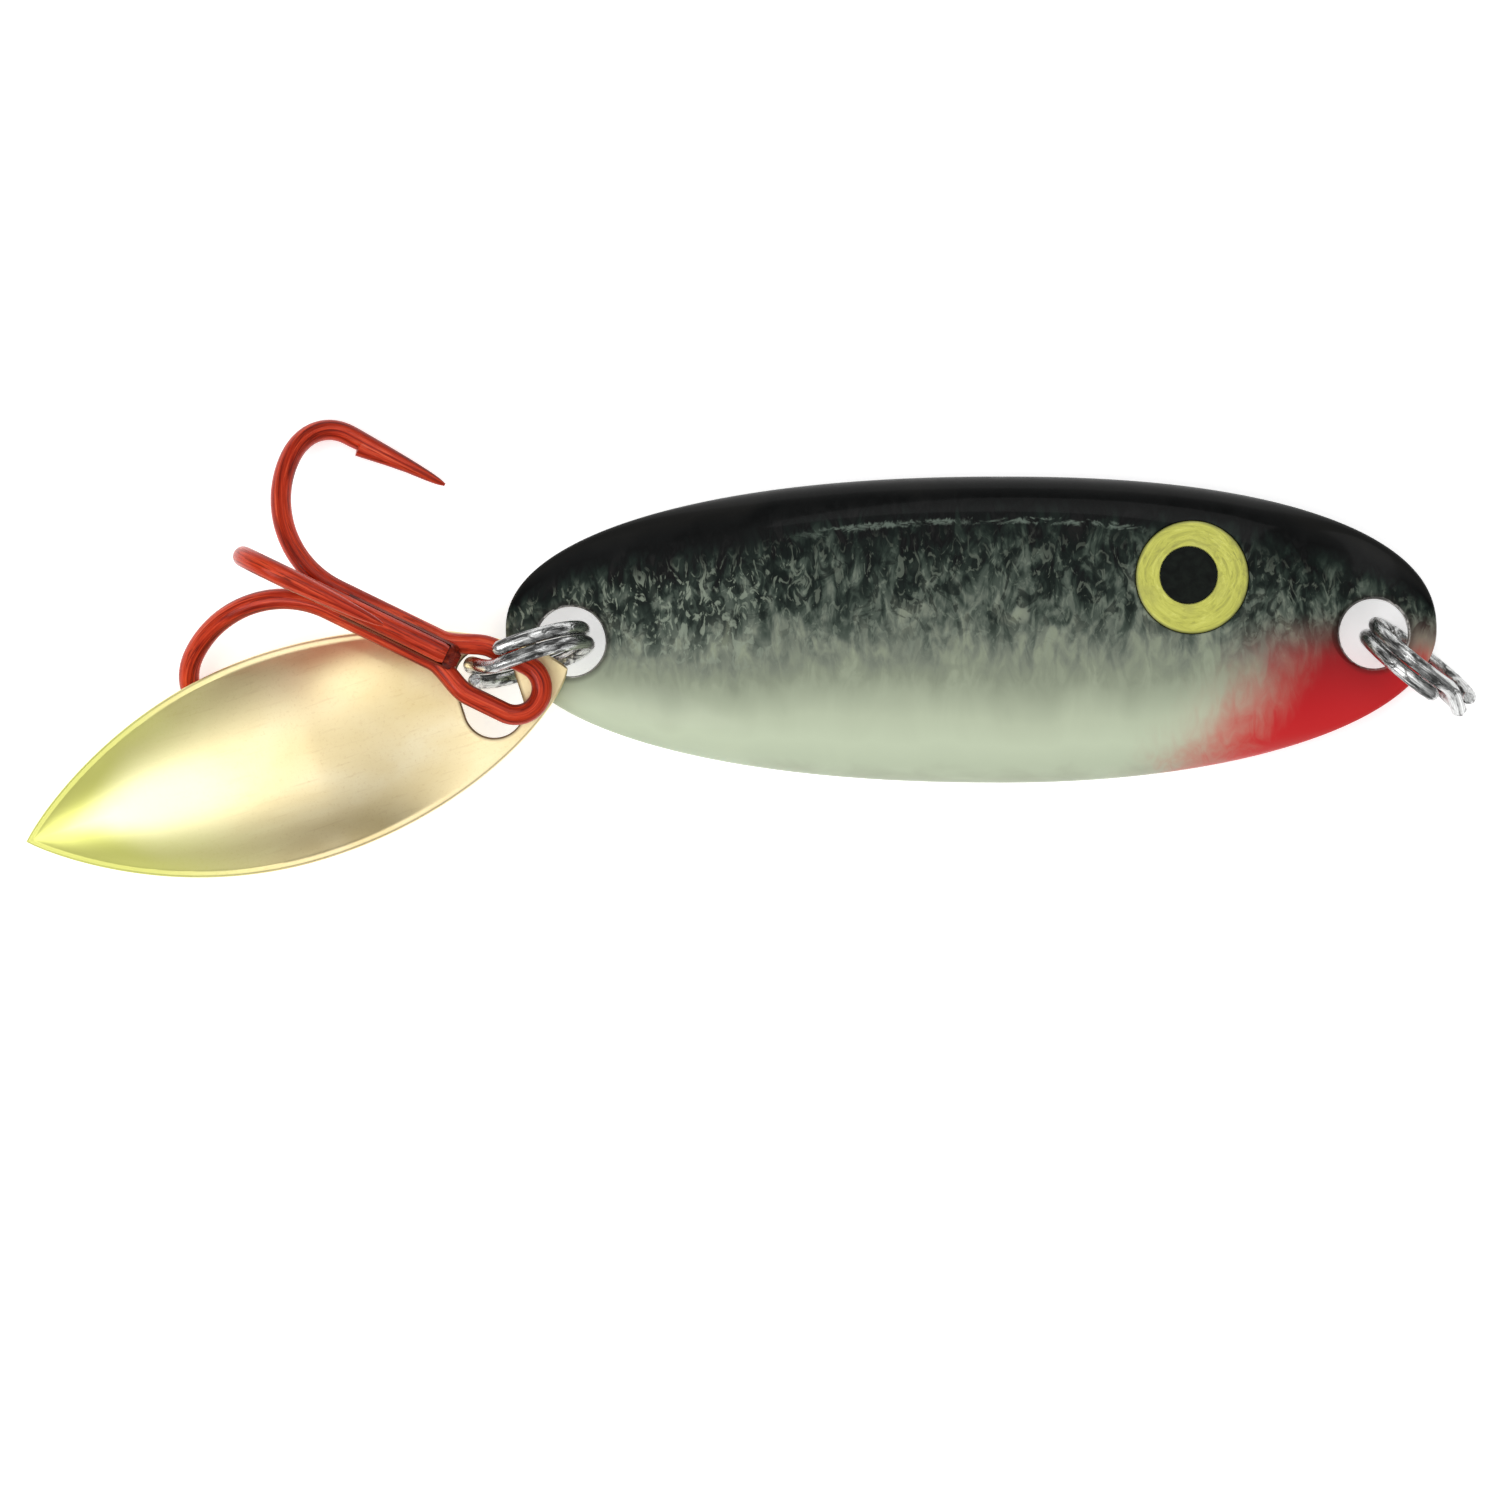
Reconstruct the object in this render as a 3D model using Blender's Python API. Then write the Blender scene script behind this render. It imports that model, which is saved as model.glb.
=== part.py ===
"""A jigging spoon with a flicker blade, lying on its side on a table.

The lure is a flat fish of cast metal. A split ring hangs in the hole at its nose, for the line.
A second split ring hangs in the hole at its tail, and carries a treble hook and a cupped blade.

+X points to the nose, +Y to the dark back of the fish and +Z up from the table. The origin is on
the flat of the lower side, which rests on the table.
"""

import math

import bmesh
import bpy
from mathutils import Matrix, Vector
from mathutils.geometry import interpolate_bezier

MM = 0.001

# Body: a superellipse in plan, flat on both sides and thin at both ends
BODY_CREST_X = 1.5 * MM  # where the body is deepest
BODY_FRONT = 21.0 * MM  # crest to nose
BODY_REAR = 24.0 * MM  # crest to tail
BODY_HALF_DEPTH = 7.4 * MM
BODY_POWER = 2.2
FORE_POWERS = (2.3, 2.06)  # back and belly, in front of the crest
BODY_HALF_THICK = 2.0 * MM
END_HALF_THICK = 0.8 * MM  # at the two ring holes
NOSE_TAPER = (12.6 * MM, 19.0 * MM)
TAIL_TAPER = (-9.5 * MM, -18.5 * MM)
EDGE_START = 0.72  # share of the outline where the edge begins to round off
BODY_LOOPS = (0.38, 0.52, 0.62, 0.72, 0.79, 0.86, 0.92, 0.965)
BODY_SIDES = 64
MID_Z = BODY_HALF_THICK

# Ring holes, with a countersink on both sides
HOLE_RADIUS = 1.68 * MM
HOLE_BAND = 0.58 * MM  # half the height of the straight bore; beyond it the wall opens at 45 degrees
HOLE_SIDES = 32
NOSE_HOLE = Vector((19.45, -0.20, 0.0)) * MM
TAIL_HOLE = Vector((-19.35, -0.58, 0.0)) * MM

# Eyes: a disc in a shallow socket on each side, with the pupil let into it
EYE_AT = Vector((10.60, 2.50, 0.0)) * MM
PUPIL_AT = Vector((10.43, 2.60, 0.0)) * MM
EYE_RADIUS = 2.72 * MM
PUPIL_RADIUS = 1.38 * MM
SOCKET_DEPTH = 0.35 * MM
PUPIL_POCKET = 0.14 * MM
FIT = 0.04 * MM  # clearance round each inlaid piece
EYE_SIDES = 40
CUTTER_REACH = 1.0 * MM  # how far a cutter runs past the face it opens

# Split rings
RING_RADIUS = 2.85 * MM  # middle of the wire
RING_WIRE = 0.70 * MM
RING_GAP = 0.04 * MM  # between the two coils
RING_Z = RING_RADIUS + RING_WIRE / 2 + 0.04 * MM
RING_STEPS = 34  # for each turn
RING_JOG = math.radians(50)  # the stretch where the wire steps over to the other coil
RING_SPLIT = math.radians(5)  # the open stretch at each end of the wire
WIRE_SIDES = 8
NOSE_PIVOT = Vector((19.25, -0.05, 0.0)) * MM
NOSE_HEADING = math.radians(-38)
NOSE_TILT = math.radians(8)
TAIL_PIVOT = Vector((-18.63, -0.36, 0.0)) * MM
TAIL_HEADING = math.radians(198)
TAIL_TILT = math.radians(8)
RING_SPLIT_AT = math.radians(60)

# Treble hook: a double hook bent from one wire, and a single hook brazed into its groove
HOOK_WIRE = 1.0 * MM
WIRE_GAP = 0.04 * MM
WIRE_PITCH = HOOK_WIRE + WIRE_GAP  # between the middles of two wires that lie side by side
HOOK_HEADING = math.radians(154)
HOOK_PITCH = math.radians(3.5)
HOOK_Z = 4.29 * MM  # of the shank's axis, above the ring wire
PRONG_SPREAD = math.radians(30)  # how far the two lower prongs point down
EYE_END = -3.42 * MM  # middle of the wire at the far end of the eye
EYE_HALF_WIDTH = 1.27 * MM
EYE_NECK = (-0.3 * MM, 2.1 * MM)
BEND_START = 7.6 * MM
BEND_OUTER = 12.42 * MM
BEND_RADIAL = 6.1 * MM
BEND_PULLS = (2.8 * MM, 3.2 * MM)  # how far the curve follows the shank, and the outer end
GAPE = 8.65 * MM  # shank axis to the point's wire
TURN_PULL = (11.6 * MM, 7.6 * MM)  # along and radial, of the turn into the point
POINT_START = 10.4 * MM
POINT_STATIONS = (1.0, 0.905, 0.86, 0.66, 0.48, 0.32, 0.16, 0.05, 0.0)  # shares of the point's length
ON_POINT = 0.9 * GAPE  # the point's wire lies further out than this
POINT_TIP = 5.1 * MM
TIP_RADIAL = 8.5 * MM
TAPER_LENGTH = 5.0 * MM
TAPER_POWER = 0.42
TIP_RADIUS = 0.10 * MM
BARB_HEIGHT = 0.36 * MM
BARB_FROM = 1.8 * MM  # from the tip
BARB_TO = 4.56 * MM
THIRD_START = 1.6 * MM
NECK_STEPS = 5
EYE_STEPS = 12
SHANK_MIDDLE = 0.6 * BEND_START

# Braze that holds the single hook in the groove of the double one
BRAZE_START = 0.9 * MM
BRAZE_END = 7.0 * MM
BRAZE_HALF_WIDTH = 0.70 * MM
BRAZE_TOP_HALF_WIDTH = 0.45 * MM
BRAZE_BASE = 0.30 * MM
BRAZE_TOP = 1.05 * MM
BRAZE_RUN_IN = (0.5 * MM, 0.55)  # length of the low front end, and its share of the height

# Blade
BLADE_HALF_LENGTH = 13.75 * MM
BLADE_HALF_WIDTH = 5.2 * MM
BLADE_THICK = 0.45 * MM
BLADE_TIP_POWER = 0.90
BLADE_ROOT_POWER = 0.75
BLADE_DOME = 1.55 * MM
BLADE_FLAT = (-0.62, -0.05)  # the cup rises between these shares of the half length
BLADE_CROWN = 1.2  # power of the cup's round across the width
BLADE_HOLE_RADIUS = 1.45 * MM
BLADE_HOLE_STRAIGHT = 0.72 * MM  # half the straight length of the oblong hole, across the blade
BLADE_HOLE_FROM_END = 3.95 * MM
BLADE_HEADING = math.radians(197.7)
BLADE_SLOPE = math.atan(0.042)
BLADE_ROLL = math.radians(3)  # it leans on the lower prong
BLADE_Z = 2.62 * MM  # underside at the ring wire
BLADE_SLACK = (0.40 * MM, 1.08 * MM)  # ring wire to hole centre, along the ring and across it
BLADE_STATIONS = 30
BLADE_STRIPS = 8

PAINT_BLACK = (0.012, 0.014, 0.013, 1)
PAINT_YELLOW = (0.56, 0.60, 0.11, 1)
PAINT_RED = (0.50, 0.025, 0.012, 1)
PAINT_BODY = (0.20, 0.24, 0.19, 1)
STEEL = (0.45, 0.46, 0.46, 1)
GOLD = (0.80, 0.58, 0.27, 1)


def clear_scene():
    for obj in list(bpy.data.objects):
        bpy.data.objects.remove(obj, do_unlink=True)


def material(name, colour, roughness, metallic):
    made = bpy.data.materials.new(name)
    made.use_nodes = True
    shader = made.node_tree.nodes["Principled BSDF"]
    shader.inputs["Base Color"].default_value = colour
    shader.inputs["Roughness"].default_value = roughness
    shader.inputs["Metallic"].default_value = metallic
    made.diffuse_color = colour
    return made


def object_from(name, bm, finish=None, smooth_angle=40):
    """Turns a bmesh into an object with its faces pointing out."""
    bmesh.ops.recalc_face_normals(bm, faces=bm.faces)
    mesh = bpy.data.meshes.new(name)
    bm.to_mesh(mesh)
    bm.free()
    mesh.shade_smooth()
    mesh.set_sharp_from_angle(angle=math.radians(smooth_angle))
    obj = bpy.data.objects.new(name, mesh)
    bpy.context.scene.collection.objects.link(obj)
    if finish:
        mesh.materials.append(finish)
    return obj


def hinge(name, place, parent=None):
    """An empty on a joint's axis, which is parallel to Z."""
    empty = bpy.data.objects.new(name, None)
    empty.empty_display_size = 2 * MM
    bpy.context.scene.collection.objects.link(empty)
    attach(empty, Matrix.Translation(place), parent)
    return empty


def attach(obj, world, parent=None):
    """Gives obj its place in the world, under a parent if there is one."""
    if parent:
        obj.parent = parent
        bpy.context.view_layer.update()
        obj.matrix_parent_inverse = parent.matrix_world.inverted()
    obj.matrix_world = world
    bpy.context.view_layer.update()


def join_loops(bm, loops):
    """Faces between neighbouring loops of vertices, and a cap on the first and the last."""
    for first, second in zip(loops, loops[1:]):
        for k in range(len(first)):
            after = (k + 1) % len(first)
            bm.faces.new((first[k], first[after], second[after], second[k]))
    bm.faces.new(loops[0])
    bm.faces.new(loops[-1])


def turned(profile, sides):
    """A solid of revolution about Z, from (radius, height) pairs, as a bmesh."""
    bm = bmesh.new()
    loops = []
    for radius, height in profile:
        spin = bmesh.ops.create_circle(bm, segments=sides, radius=radius)
        bmesh.ops.translate(bm, verts=spin["verts"], vec=(0, 0, height))
        loops.append(spin["verts"])
    join_loops(bm, loops)
    return bm


def cut(obj, cutter):
    """Takes the cutter's shape out of obj and hides the cutter."""
    step = obj.modifiers.new("cut_" + cutter.name, "BOOLEAN")
    step.operation = "DIFFERENCE"
    step.object = cutter
    step.solver = "EXACT"
    cutter.hide_render = True
    cutter.display_type = "WIRE"


# ---------------------------------------------------------------- body


def superellipse(angle, share=1.0):
    """A point of the body's outline, drawn in towards its crest by share."""
    across, up = math.cos(angle), math.sin(angle)
    length, power = BODY_REAR, BODY_POWER
    if across > 0:
        length, power = BODY_FRONT, FORE_POWERS[0 if up > 0 else 1]
    x = math.copysign(abs(across) ** (2 / power), across) * length
    y = math.copysign(abs(up) ** (2 / power), up) * BODY_HALF_DEPTH
    return BODY_CREST_X + x * share, y * share


def smooth_step(value, start, end):
    """0 before start and 1 after end, with a smooth rise between them."""
    t = min(1.0, max(0.0, (value - start) / (end - start)))
    return t * t * (3 - 2 * t)


def half_thickness(x, share):
    """Half the body's thickness: full in the middle, thin at the ends, rounded at the edge."""
    taper = max(smooth_step(x, *NOSE_TAPER), smooth_step(x, *TAIL_TAPER))
    full = BODY_HALF_THICK - (BODY_HALF_THICK - END_HALF_THICK) * taper
    edge = max(0.0, (share - EDGE_START) / (1 - EDGE_START))
    return full * math.sqrt(1 - edge * edge)


def body_loop(bm, share, side):
    """One loop round the body: side is 1 on top, -1 below and 0 along the rim."""
    loop = []
    for k in range(BODY_SIDES):
        x, y = superellipse(2 * math.pi * (k + 0.5) / BODY_SIDES, share)
        loop.append(bm.verts.new((x, y, MID_Z + side * half_thickness(x, share))))
    return loop


def ring_hole_cutter(name, place):
    """A bore through the body that opens out at both faces."""
    reach = BODY_HALF_THICK
    flare = HOLE_RADIUS + reach - HOLE_BAND
    profile = [(flare, -reach), (HOLE_RADIUS, -HOLE_BAND), (HOLE_RADIUS, HOLE_BAND), (flare, reach)]
    cutter = object_from(name, turned(profile, HOLE_SIDES))
    cutter.location = place + Vector((0, 0, MID_Z))
    return cutter


def socket_cutter(name, side):
    """A shallow round pocket for an eye, in the top face (side 1) or the lower one (-1)."""
    floor = BODY_HALF_THICK - SOCKET_DEPTH
    profile = [(EYE_RADIUS + FIT, floor), (EYE_RADIUS + FIT, BODY_HALF_THICK + CUTTER_REACH)]
    cutter = object_from(name, turned([(r, side * z) for r, z in profile], EYE_SIDES))
    cutter.location = EYE_AT + Vector((0, 0, MID_Z))
    return cutter


def spoon_body(paint):
    bm = bmesh.new()
    loops = [body_loop(bm, share, 1) for share in BODY_LOOPS]
    loops.append(body_loop(bm, 1.0, 0))
    loops += [body_loop(bm, share, -1) for share in reversed(BODY_LOOPS)]
    join_loops(bm, loops)
    body = object_from("spoon_body", bm, paint)
    cut(body, ring_hole_cutter("nose_hole_cutter", NOSE_HOLE))
    cut(body, ring_hole_cutter("tail_hole_cutter", TAIL_HOLE))
    cut(body, socket_cutter("upper_socket_cutter", 1))
    cut(body, socket_cutter("lower_socket_cutter", -1))
    return body


# ---------------------------------------------------------------- eyes


def eye_disc(name, side, finish):
    """The coloured disc of one eye, a little below the flat round it."""
    face = BODY_HALF_THICK - FIT
    back = BODY_HALF_THICK - SOCKET_DEPTH + FIT
    rim = [(EYE_RADIUS, side * back), (EYE_RADIUS, side * face)]
    disc = object_from(name, turned(rim, EYE_SIDES), finish)
    disc.location = EYE_AT + Vector((0, 0, MID_Z))
    hole = PUPIL_RADIUS + FIT
    pocket = [(hole, side * (face - PUPIL_POCKET)), (hole, side * (face + CUTTER_REACH))]
    cutter = object_from(name + "_cutter", turned(pocket, EYE_SIDES))
    cutter.location = PUPIL_AT + Vector((0, 0, MID_Z))
    cut(disc, cutter)
    return disc


def eye_pupil(name, side, finish):
    face = BODY_HALF_THICK - FIT / 2
    back = BODY_HALF_THICK - PUPIL_POCKET
    rim = [(PUPIL_RADIUS, side * back), (PUPIL_RADIUS, side * face)]
    pupil = object_from(name, turned(rim, EYE_SIDES), finish)
    pupil.location = PUPIL_AT + Vector((0, 0, MID_Z))
    return pupil


# ---------------------------------------------------------------- wires


def sweep(points, radii, pushes=None):
    """A round wire along points, as a bmesh. pushes gives each point a vector that swells
    the wire towards it, which makes a barb."""
    tangents = []
    for k in range(len(points)):
        before, after = points[max(0, k - 1)], points[min(len(points) - 1, k + 1)]
        tangents.append((after - before).normalized())
    normal = tangents[0].orthogonal().normalized()
    bm = bmesh.new()
    loops = []
    for k, point in enumerate(points):
        if k:
            normal = tangents[k - 1].rotation_difference(tangents[k]) @ normal
        normal = (normal - tangents[k] * normal.dot(tangents[k])).normalized()
        side = tangents[k].cross(normal)
        loop = []
        for j in range(WIRE_SIDES):
            turn = 2 * math.pi * j / WIRE_SIDES
            out = normal * math.cos(turn) + side * math.sin(turn)
            reach = radii[k]
            if pushes and pushes[k].length > 0:
                facing = max(0.0, out.dot(pushes[k].normalized()))
                reach += pushes[k].length * facing ** 3
            loop.append(bm.verts.new(point + out * reach))
        loops.append(loop)
    join_loops(bm, loops)
    return bm


def split_ring(name, pivot, heading, tilt, finish, parent):
    """Two coils of one wire, with the step from one to the other near the split. In its own
    frame the wire crosses the hinge at the origin and the ring reaches out along X."""
    step = (RING_WIRE + RING_GAP) / 2
    turns = 4 * math.pi - RING_JOG - RING_SPLIT
    count = round(RING_STEPS * turns / (2 * math.pi))
    points = []
    for k in range(count + 1):
        along = turns * k / count
        angle = RING_SPLIT_AT + along
        over = smooth_step(along, 2 * math.pi - RING_JOG, 2 * math.pi - RING_SPLIT / 2)
        x = RING_RADIUS * (1 + math.cos(angle))
        points.append(Vector((x, step * (2 * over - 1), RING_RADIUS * math.sin(angle))))
    ring = object_from(name, sweep(points, [RING_WIRE / 2] * len(points)), finish, 60)
    place = Matrix.Translation(pivot + Vector((0, 0, RING_Z)))
    attach(ring, place @ Matrix.Rotation(heading, 4, "Z") @ Matrix.Rotation(tilt, 4, "X"), parent)
    return ring


def ring_wire_at(height):
    """Where the tail ring's outer wire stands at a height: out along the ring and across it."""
    rise = height - RING_Z
    return RING_RADIUS + math.sqrt(RING_RADIUS**2 - rise**2), -rise * math.sin(TAIL_TILT)


def tail_wire_place(height):
    """The tail ring's outer wire at a height, in the world."""
    out, across = ring_wire_at(height)
    spot = Matrix.Rotation(TAIL_HEADING, 3, "Z") @ Vector((out, across, 0))
    return TAIL_PIVOT + spot + Vector((0, 0, height))


# ---------------------------------------------------------------- treble hook


def curve_points(first, first_pull, second_pull, second, steps):
    """Points of one cubic curve, without its last one."""
    return interpolate_bezier(first, first_pull, second_pull, second, steps + 1)[:-1]


def at(along, radial, outward):
    """A point of the hook's frame: X along the shank, away from the ring."""
    return Vector((along, 0, 0)) + outward * radial


def prong(start, outward):
    """From the shank to the tip of one prong, in the plane of outward."""
    points = curve_points(
        start,
        start + Vector((BEND_PULLS[0], 0, 0)),
        at(BEND_OUTER, BEND_PULLS[1], outward),
        at(BEND_OUTER, BEND_RADIAL, outward),
        10,
    )
    points += curve_points(
        at(BEND_OUTER, BEND_RADIAL, outward),
        at(BEND_OUTER, TURN_PULL[1], outward),
        at(TURN_PULL[0], GAPE, outward),
        at(POINT_START, GAPE, outward),
        7,
    )
    whole = POINT_START - POINT_TIP
    for left in POINT_STATIONS:
        along = POINT_TIP + whole * left
        points.append(at(along, TIP_RADIAL + (GAPE - TIP_RADIAL) * left, outward))
    return points


def off_shank(point):
    """Distance from the shank's axis."""
    return math.hypot(point.y, point.z)


def prong_radii(points):
    """The wire's radius at each point of a prong, which comes to a point at its last one."""
    radii = []
    for point in points:
        left = (point - points[-1]).length
        tapers = left < TAPER_LENGTH and point.x < POINT_START and off_shank(point) > ON_POINT
        share = (left / TAPER_LENGTH) ** TAPER_POWER if tapers else 1.0
        radii.append(max(TIP_RADIUS, HOOK_WIRE / 2 * share))
    return radii


def prong_pushes(points, outward):
    """The barb: a ramp that rises towards the bend on the inner side and then stops short."""
    pushes = []
    for point in points:
        left = (point - points[-1]).length
        rise = 0.0
        if off_shank(point) > ON_POINT and BARB_FROM < left <= BARB_TO:
            rise = BARB_HEIGHT * (left - BARB_FROM) / (BARB_TO - BARB_FROM)
        pushes.append(outward * -rise)
    return pushes


def eye_and_shanks():
    """From the start of one bend, down its shank, round the eye and back to the other bend."""
    side = WIRE_PITCH / 2
    neck_start, neck_end = EYE_NECK
    legs = []
    for k in range(NECK_STEPS + 1):
        along = neck_start + (neck_end - neck_start) * k / NECK_STEPS
        width = EYE_HALF_WIDTH + (side - EYE_HALF_WIDTH) * smooth_step(along, neck_start, neck_end)
        legs.append(Vector((along, width, 0)))
    legs.append(Vector((SHANK_MIDDLE, side, 0)))
    centre = EYE_END + EYE_HALF_WIDTH
    arc = []
    for k in range(EYE_STEPS + 1):
        turn = math.pi * (0.5 + k / EYE_STEPS)
        round_eye = Vector((math.cos(turn), math.sin(turn), 0)) * EYE_HALF_WIDTH
        arc.append(Vector((centre, 0, 0)) + round_eye)
    back = [Vector((leg.x, -leg.y, 0)) for leg in legs]
    return list(reversed(legs)) + arc + back


def double_wire(finish, place, parent):
    side = WIRE_PITCH / 2
    left = Vector((0, math.cos(PRONG_SPREAD), -math.sin(PRONG_SPREAD)))
    right = Vector((0, -math.cos(PRONG_SPREAD), -math.sin(PRONG_SPREAD)))
    first = prong(Vector((BEND_START, side, 0)), left)
    second = prong(Vector((BEND_START, -side, 0)), right)
    middle = eye_and_shanks()
    points = list(reversed(first)) + middle + second
    radii = list(reversed(prong_radii(first))) + [HOOK_WIRE / 2] * len(middle) + prong_radii(second)
    still = [Vector((0, 0, 0))] * len(middle)
    pushes = list(reversed(prong_pushes(first, left))) + still + prong_pushes(second, right)
    wire = object_from("hook_double_wire", sweep(points, radii, pushes), finish, 60)
    attach(wire, place, parent)
    return wire


def third_wire(finish, place, parent):
    rise = WIRE_PITCH * math.sqrt(3) / 2
    up = Vector((0, 0, 1))
    bend = prong(Vector((BEND_START, 0, rise)), up)
    shank = [Vector((THIRD_START, 0, rise)), Vector((SHANK_MIDDLE, 0, rise))]
    points = shank + bend
    radii = [HOOK_WIRE / 2] * len(shank) + prong_radii(bend)
    pushes = [Vector((0, 0, 0))] * len(shank) + prong_pushes(bend, up)
    wire = object_from("hook_third_wire", sweep(points, radii, pushes), finish, 60)
    attach(wire, place, parent)
    return wire


def braze_fillet(finish, place, parent):
    """The braze on both sides of the single wire, joined in front of its blunt end."""
    bm = bmesh.new()
    loops = []
    run_in, low = BRAZE_RUN_IN
    for along, share in ((BRAZE_START, low), (BRAZE_START + run_in, 1.0), (BRAZE_END, 1.0)):
        top = BRAZE_BASE + (BRAZE_TOP - BRAZE_BASE) * share
        corners = [
            (-BRAZE_HALF_WIDTH, BRAZE_BASE),
            (BRAZE_HALF_WIDTH, BRAZE_BASE),
            (BRAZE_TOP_HALF_WIDTH, top),
            (-BRAZE_TOP_HALF_WIDTH, top),
        ]
        loops.append([bm.verts.new((along, y, z)) for y, z in corners])
    join_loops(bm, loops)
    fillet = object_from("braze_fillet", bm, finish, 30)
    attach(fillet, place, parent)
    side = WIRE_PITCH / 2
    rise = WIRE_PITCH * math.sqrt(3) / 2
    clear = HOOK_WIRE / 2 + WIRE_GAP
    wires = (
        ("braze_left_cutter", side, 0.0, -CUTTER_REACH),
        ("braze_right_cutter", -side, 0.0, -CUTTER_REACH),
        ("braze_top_cutter", 0.0, rise, THIRD_START - WIRE_GAP),
    )
    for name, y, z, start in wires:
        length = BRAZE_END + CUTTER_REACH - start
        cutter = object_from(name, turned([(clear, 0), (clear, length)], 2 * WIRE_SIDES))
        lay_down = Matrix.Translation((start, y, z)) @ Matrix.Rotation(math.pi / 2, 4, "Y")
        attach(cutter, place @ lay_down, parent)
        cut(fillet, cutter)
    return fillet


# ---------------------------------------------------------------- blade


def blade_half_width(share):
    """Half the blade's width; share runs from -1 at the hole's end to 1 at the tip."""
    power = BLADE_TIP_POWER if share > 0 else BLADE_ROOT_POWER
    return BLADE_HALF_WIDTH * max(0.0, 1 - share * share) ** power


def blade_dome(share, across):
    """How far the cupped middle stands up from the plane of the edge."""
    fade = smooth_step(share, *BLADE_FLAT)
    round_over = max(0.0, 1 - across * across) ** BLADE_CROWN
    return BLADE_DOME * fade * (1 - share * share) * round_over


def flicker_blade(finish, parent, wire_place):
    """A cupped sheet. Its own X runs from the ring wire to the tip."""
    slack = Vector((-BLADE_SLACK[0], BLADE_SLACK[1], 0))
    slack.rotate(Matrix.Rotation(TAIL_HEADING - BLADE_HEADING, 3, "Z"))
    middle = slack.x + BLADE_HALF_LENGTH - BLADE_HOLE_FROM_END
    bm = bmesh.new()
    loops = []
    for k in range(BLADE_STATIONS + 1):
        share = -math.cos(math.pi * (k + 0.35) / (BLADE_STATIONS + 0.7))
        width = blade_half_width(share)
        loop = []
        for side, strips in ((1, range(BLADE_STRIPS + 1)), (0, range(BLADE_STRIPS, -1, -1))):
            for j in strips:
                across = -1 + 2 * j / BLADE_STRIPS
                x = middle + share * BLADE_HALF_LENGTH
                z = blade_dome(share, across) + side * BLADE_THICK
                loop.append(bm.verts.new((x, slack.y + across * width, z)))
        loops.append(loop)
    join_loops(bm, loops)
    blade = object_from("flicker_blade", bm, finish, 50)
    place = Matrix.Translation(wire_place) @ Matrix.Rotation(BLADE_HEADING, 4, "Z")
    place = place @ Matrix.Rotation(BLADE_SLOPE, 4, "Y") @ Matrix.Rotation(-BLADE_ROLL, 4, "X")
    attach(blade, place, parent)
    above = BLADE_THICK + BLADE_DOME
    drill = [(BLADE_HOLE_RADIUS, -CUTTER_REACH), (BLADE_HOLE_RADIUS, above + CUTTER_REACH)]
    slot = turned(drill, HOLE_SIDES)
    for vertex in slot.verts:
        if abs(vertex.co.y) > BLADE_HOLE_STRAIGHT / HOLE_SIDES:
            vertex.co.y += math.copysign(BLADE_HOLE_STRAIGHT, vertex.co.y)
    cutter = object_from("blade_hole_cutter", slot)
    attach(cutter, place @ Matrix.Translation((slack.x, slack.y, 0)), parent)
    cut(blade, cutter)
    return blade


# ---------------------------------------------------------------- the lure


def build():
    clear_scene()
    body_paint = material("body_paint", PAINT_BODY, 0.35, 0.0)
    iris_paint = material("iris_paint", PAINT_YELLOW, 0.5, 0.0)
    pupil_paint = material("pupil_paint", PAINT_BLACK, 0.4, 0.0)
    steel = material("ring_steel", STEEL, 0.25, 1.0)
    red = material("hook_red", PAINT_RED, 0.35, 0.3)
    gold = material("blade_gold", GOLD, 0.3, 1.0)

    spoon_body(body_paint)
    for label, side in (("upper", 1), ("lower", -1)):
        eye_disc("eye_iris_" + label, side, iris_paint)
        eye_pupil("eye_pupil_" + label, side, pupil_paint)

    nose_hinge = hinge("nose_ring_hinge", NOSE_PIVOT + Vector((0, 0, RING_Z)))
    split_ring("nose_split_ring", NOSE_PIVOT, NOSE_HEADING, NOSE_TILT, steel, nose_hinge)

    tail_hinge = hinge("tail_ring_hinge", TAIL_PIVOT + Vector((0, 0, RING_Z)))
    split_ring("tail_split_ring", TAIL_PIVOT, TAIL_HEADING, TAIL_TILT, steel, tail_hinge)

    hook_at = tail_wire_place(HOOK_Z)
    hook_hinge = hinge("hook_hinge", hook_at, tail_hinge)
    place = Matrix.Translation(hook_at) @ Matrix.Rotation(HOOK_HEADING, 4, "Z")
    place = place @ Matrix.Rotation(-HOOK_PITCH, 4, "Y")
    double_wire(red, place, hook_hinge)
    third_wire(red, place, hook_hinge)
    braze_fillet(red, place, hook_hinge)

    blade_at = tail_wire_place(BLADE_Z)
    blade_hinge = hinge("blade_hinge", blade_at, tail_hinge)
    flicker_blade(gold, blade_hinge, blade_at)


build()
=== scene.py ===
"""Looks of a jigging spoon that lies on its side: the same shapes as the frame, made finer, with
paint, lacquer and plated metal made from nodes. Lengths are in metres and +Z is up."""

import math

import bmesh
import bpy
from mathutils import Matrix, Vector
from mathutils.geometry import interpolate_bezier


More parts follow.
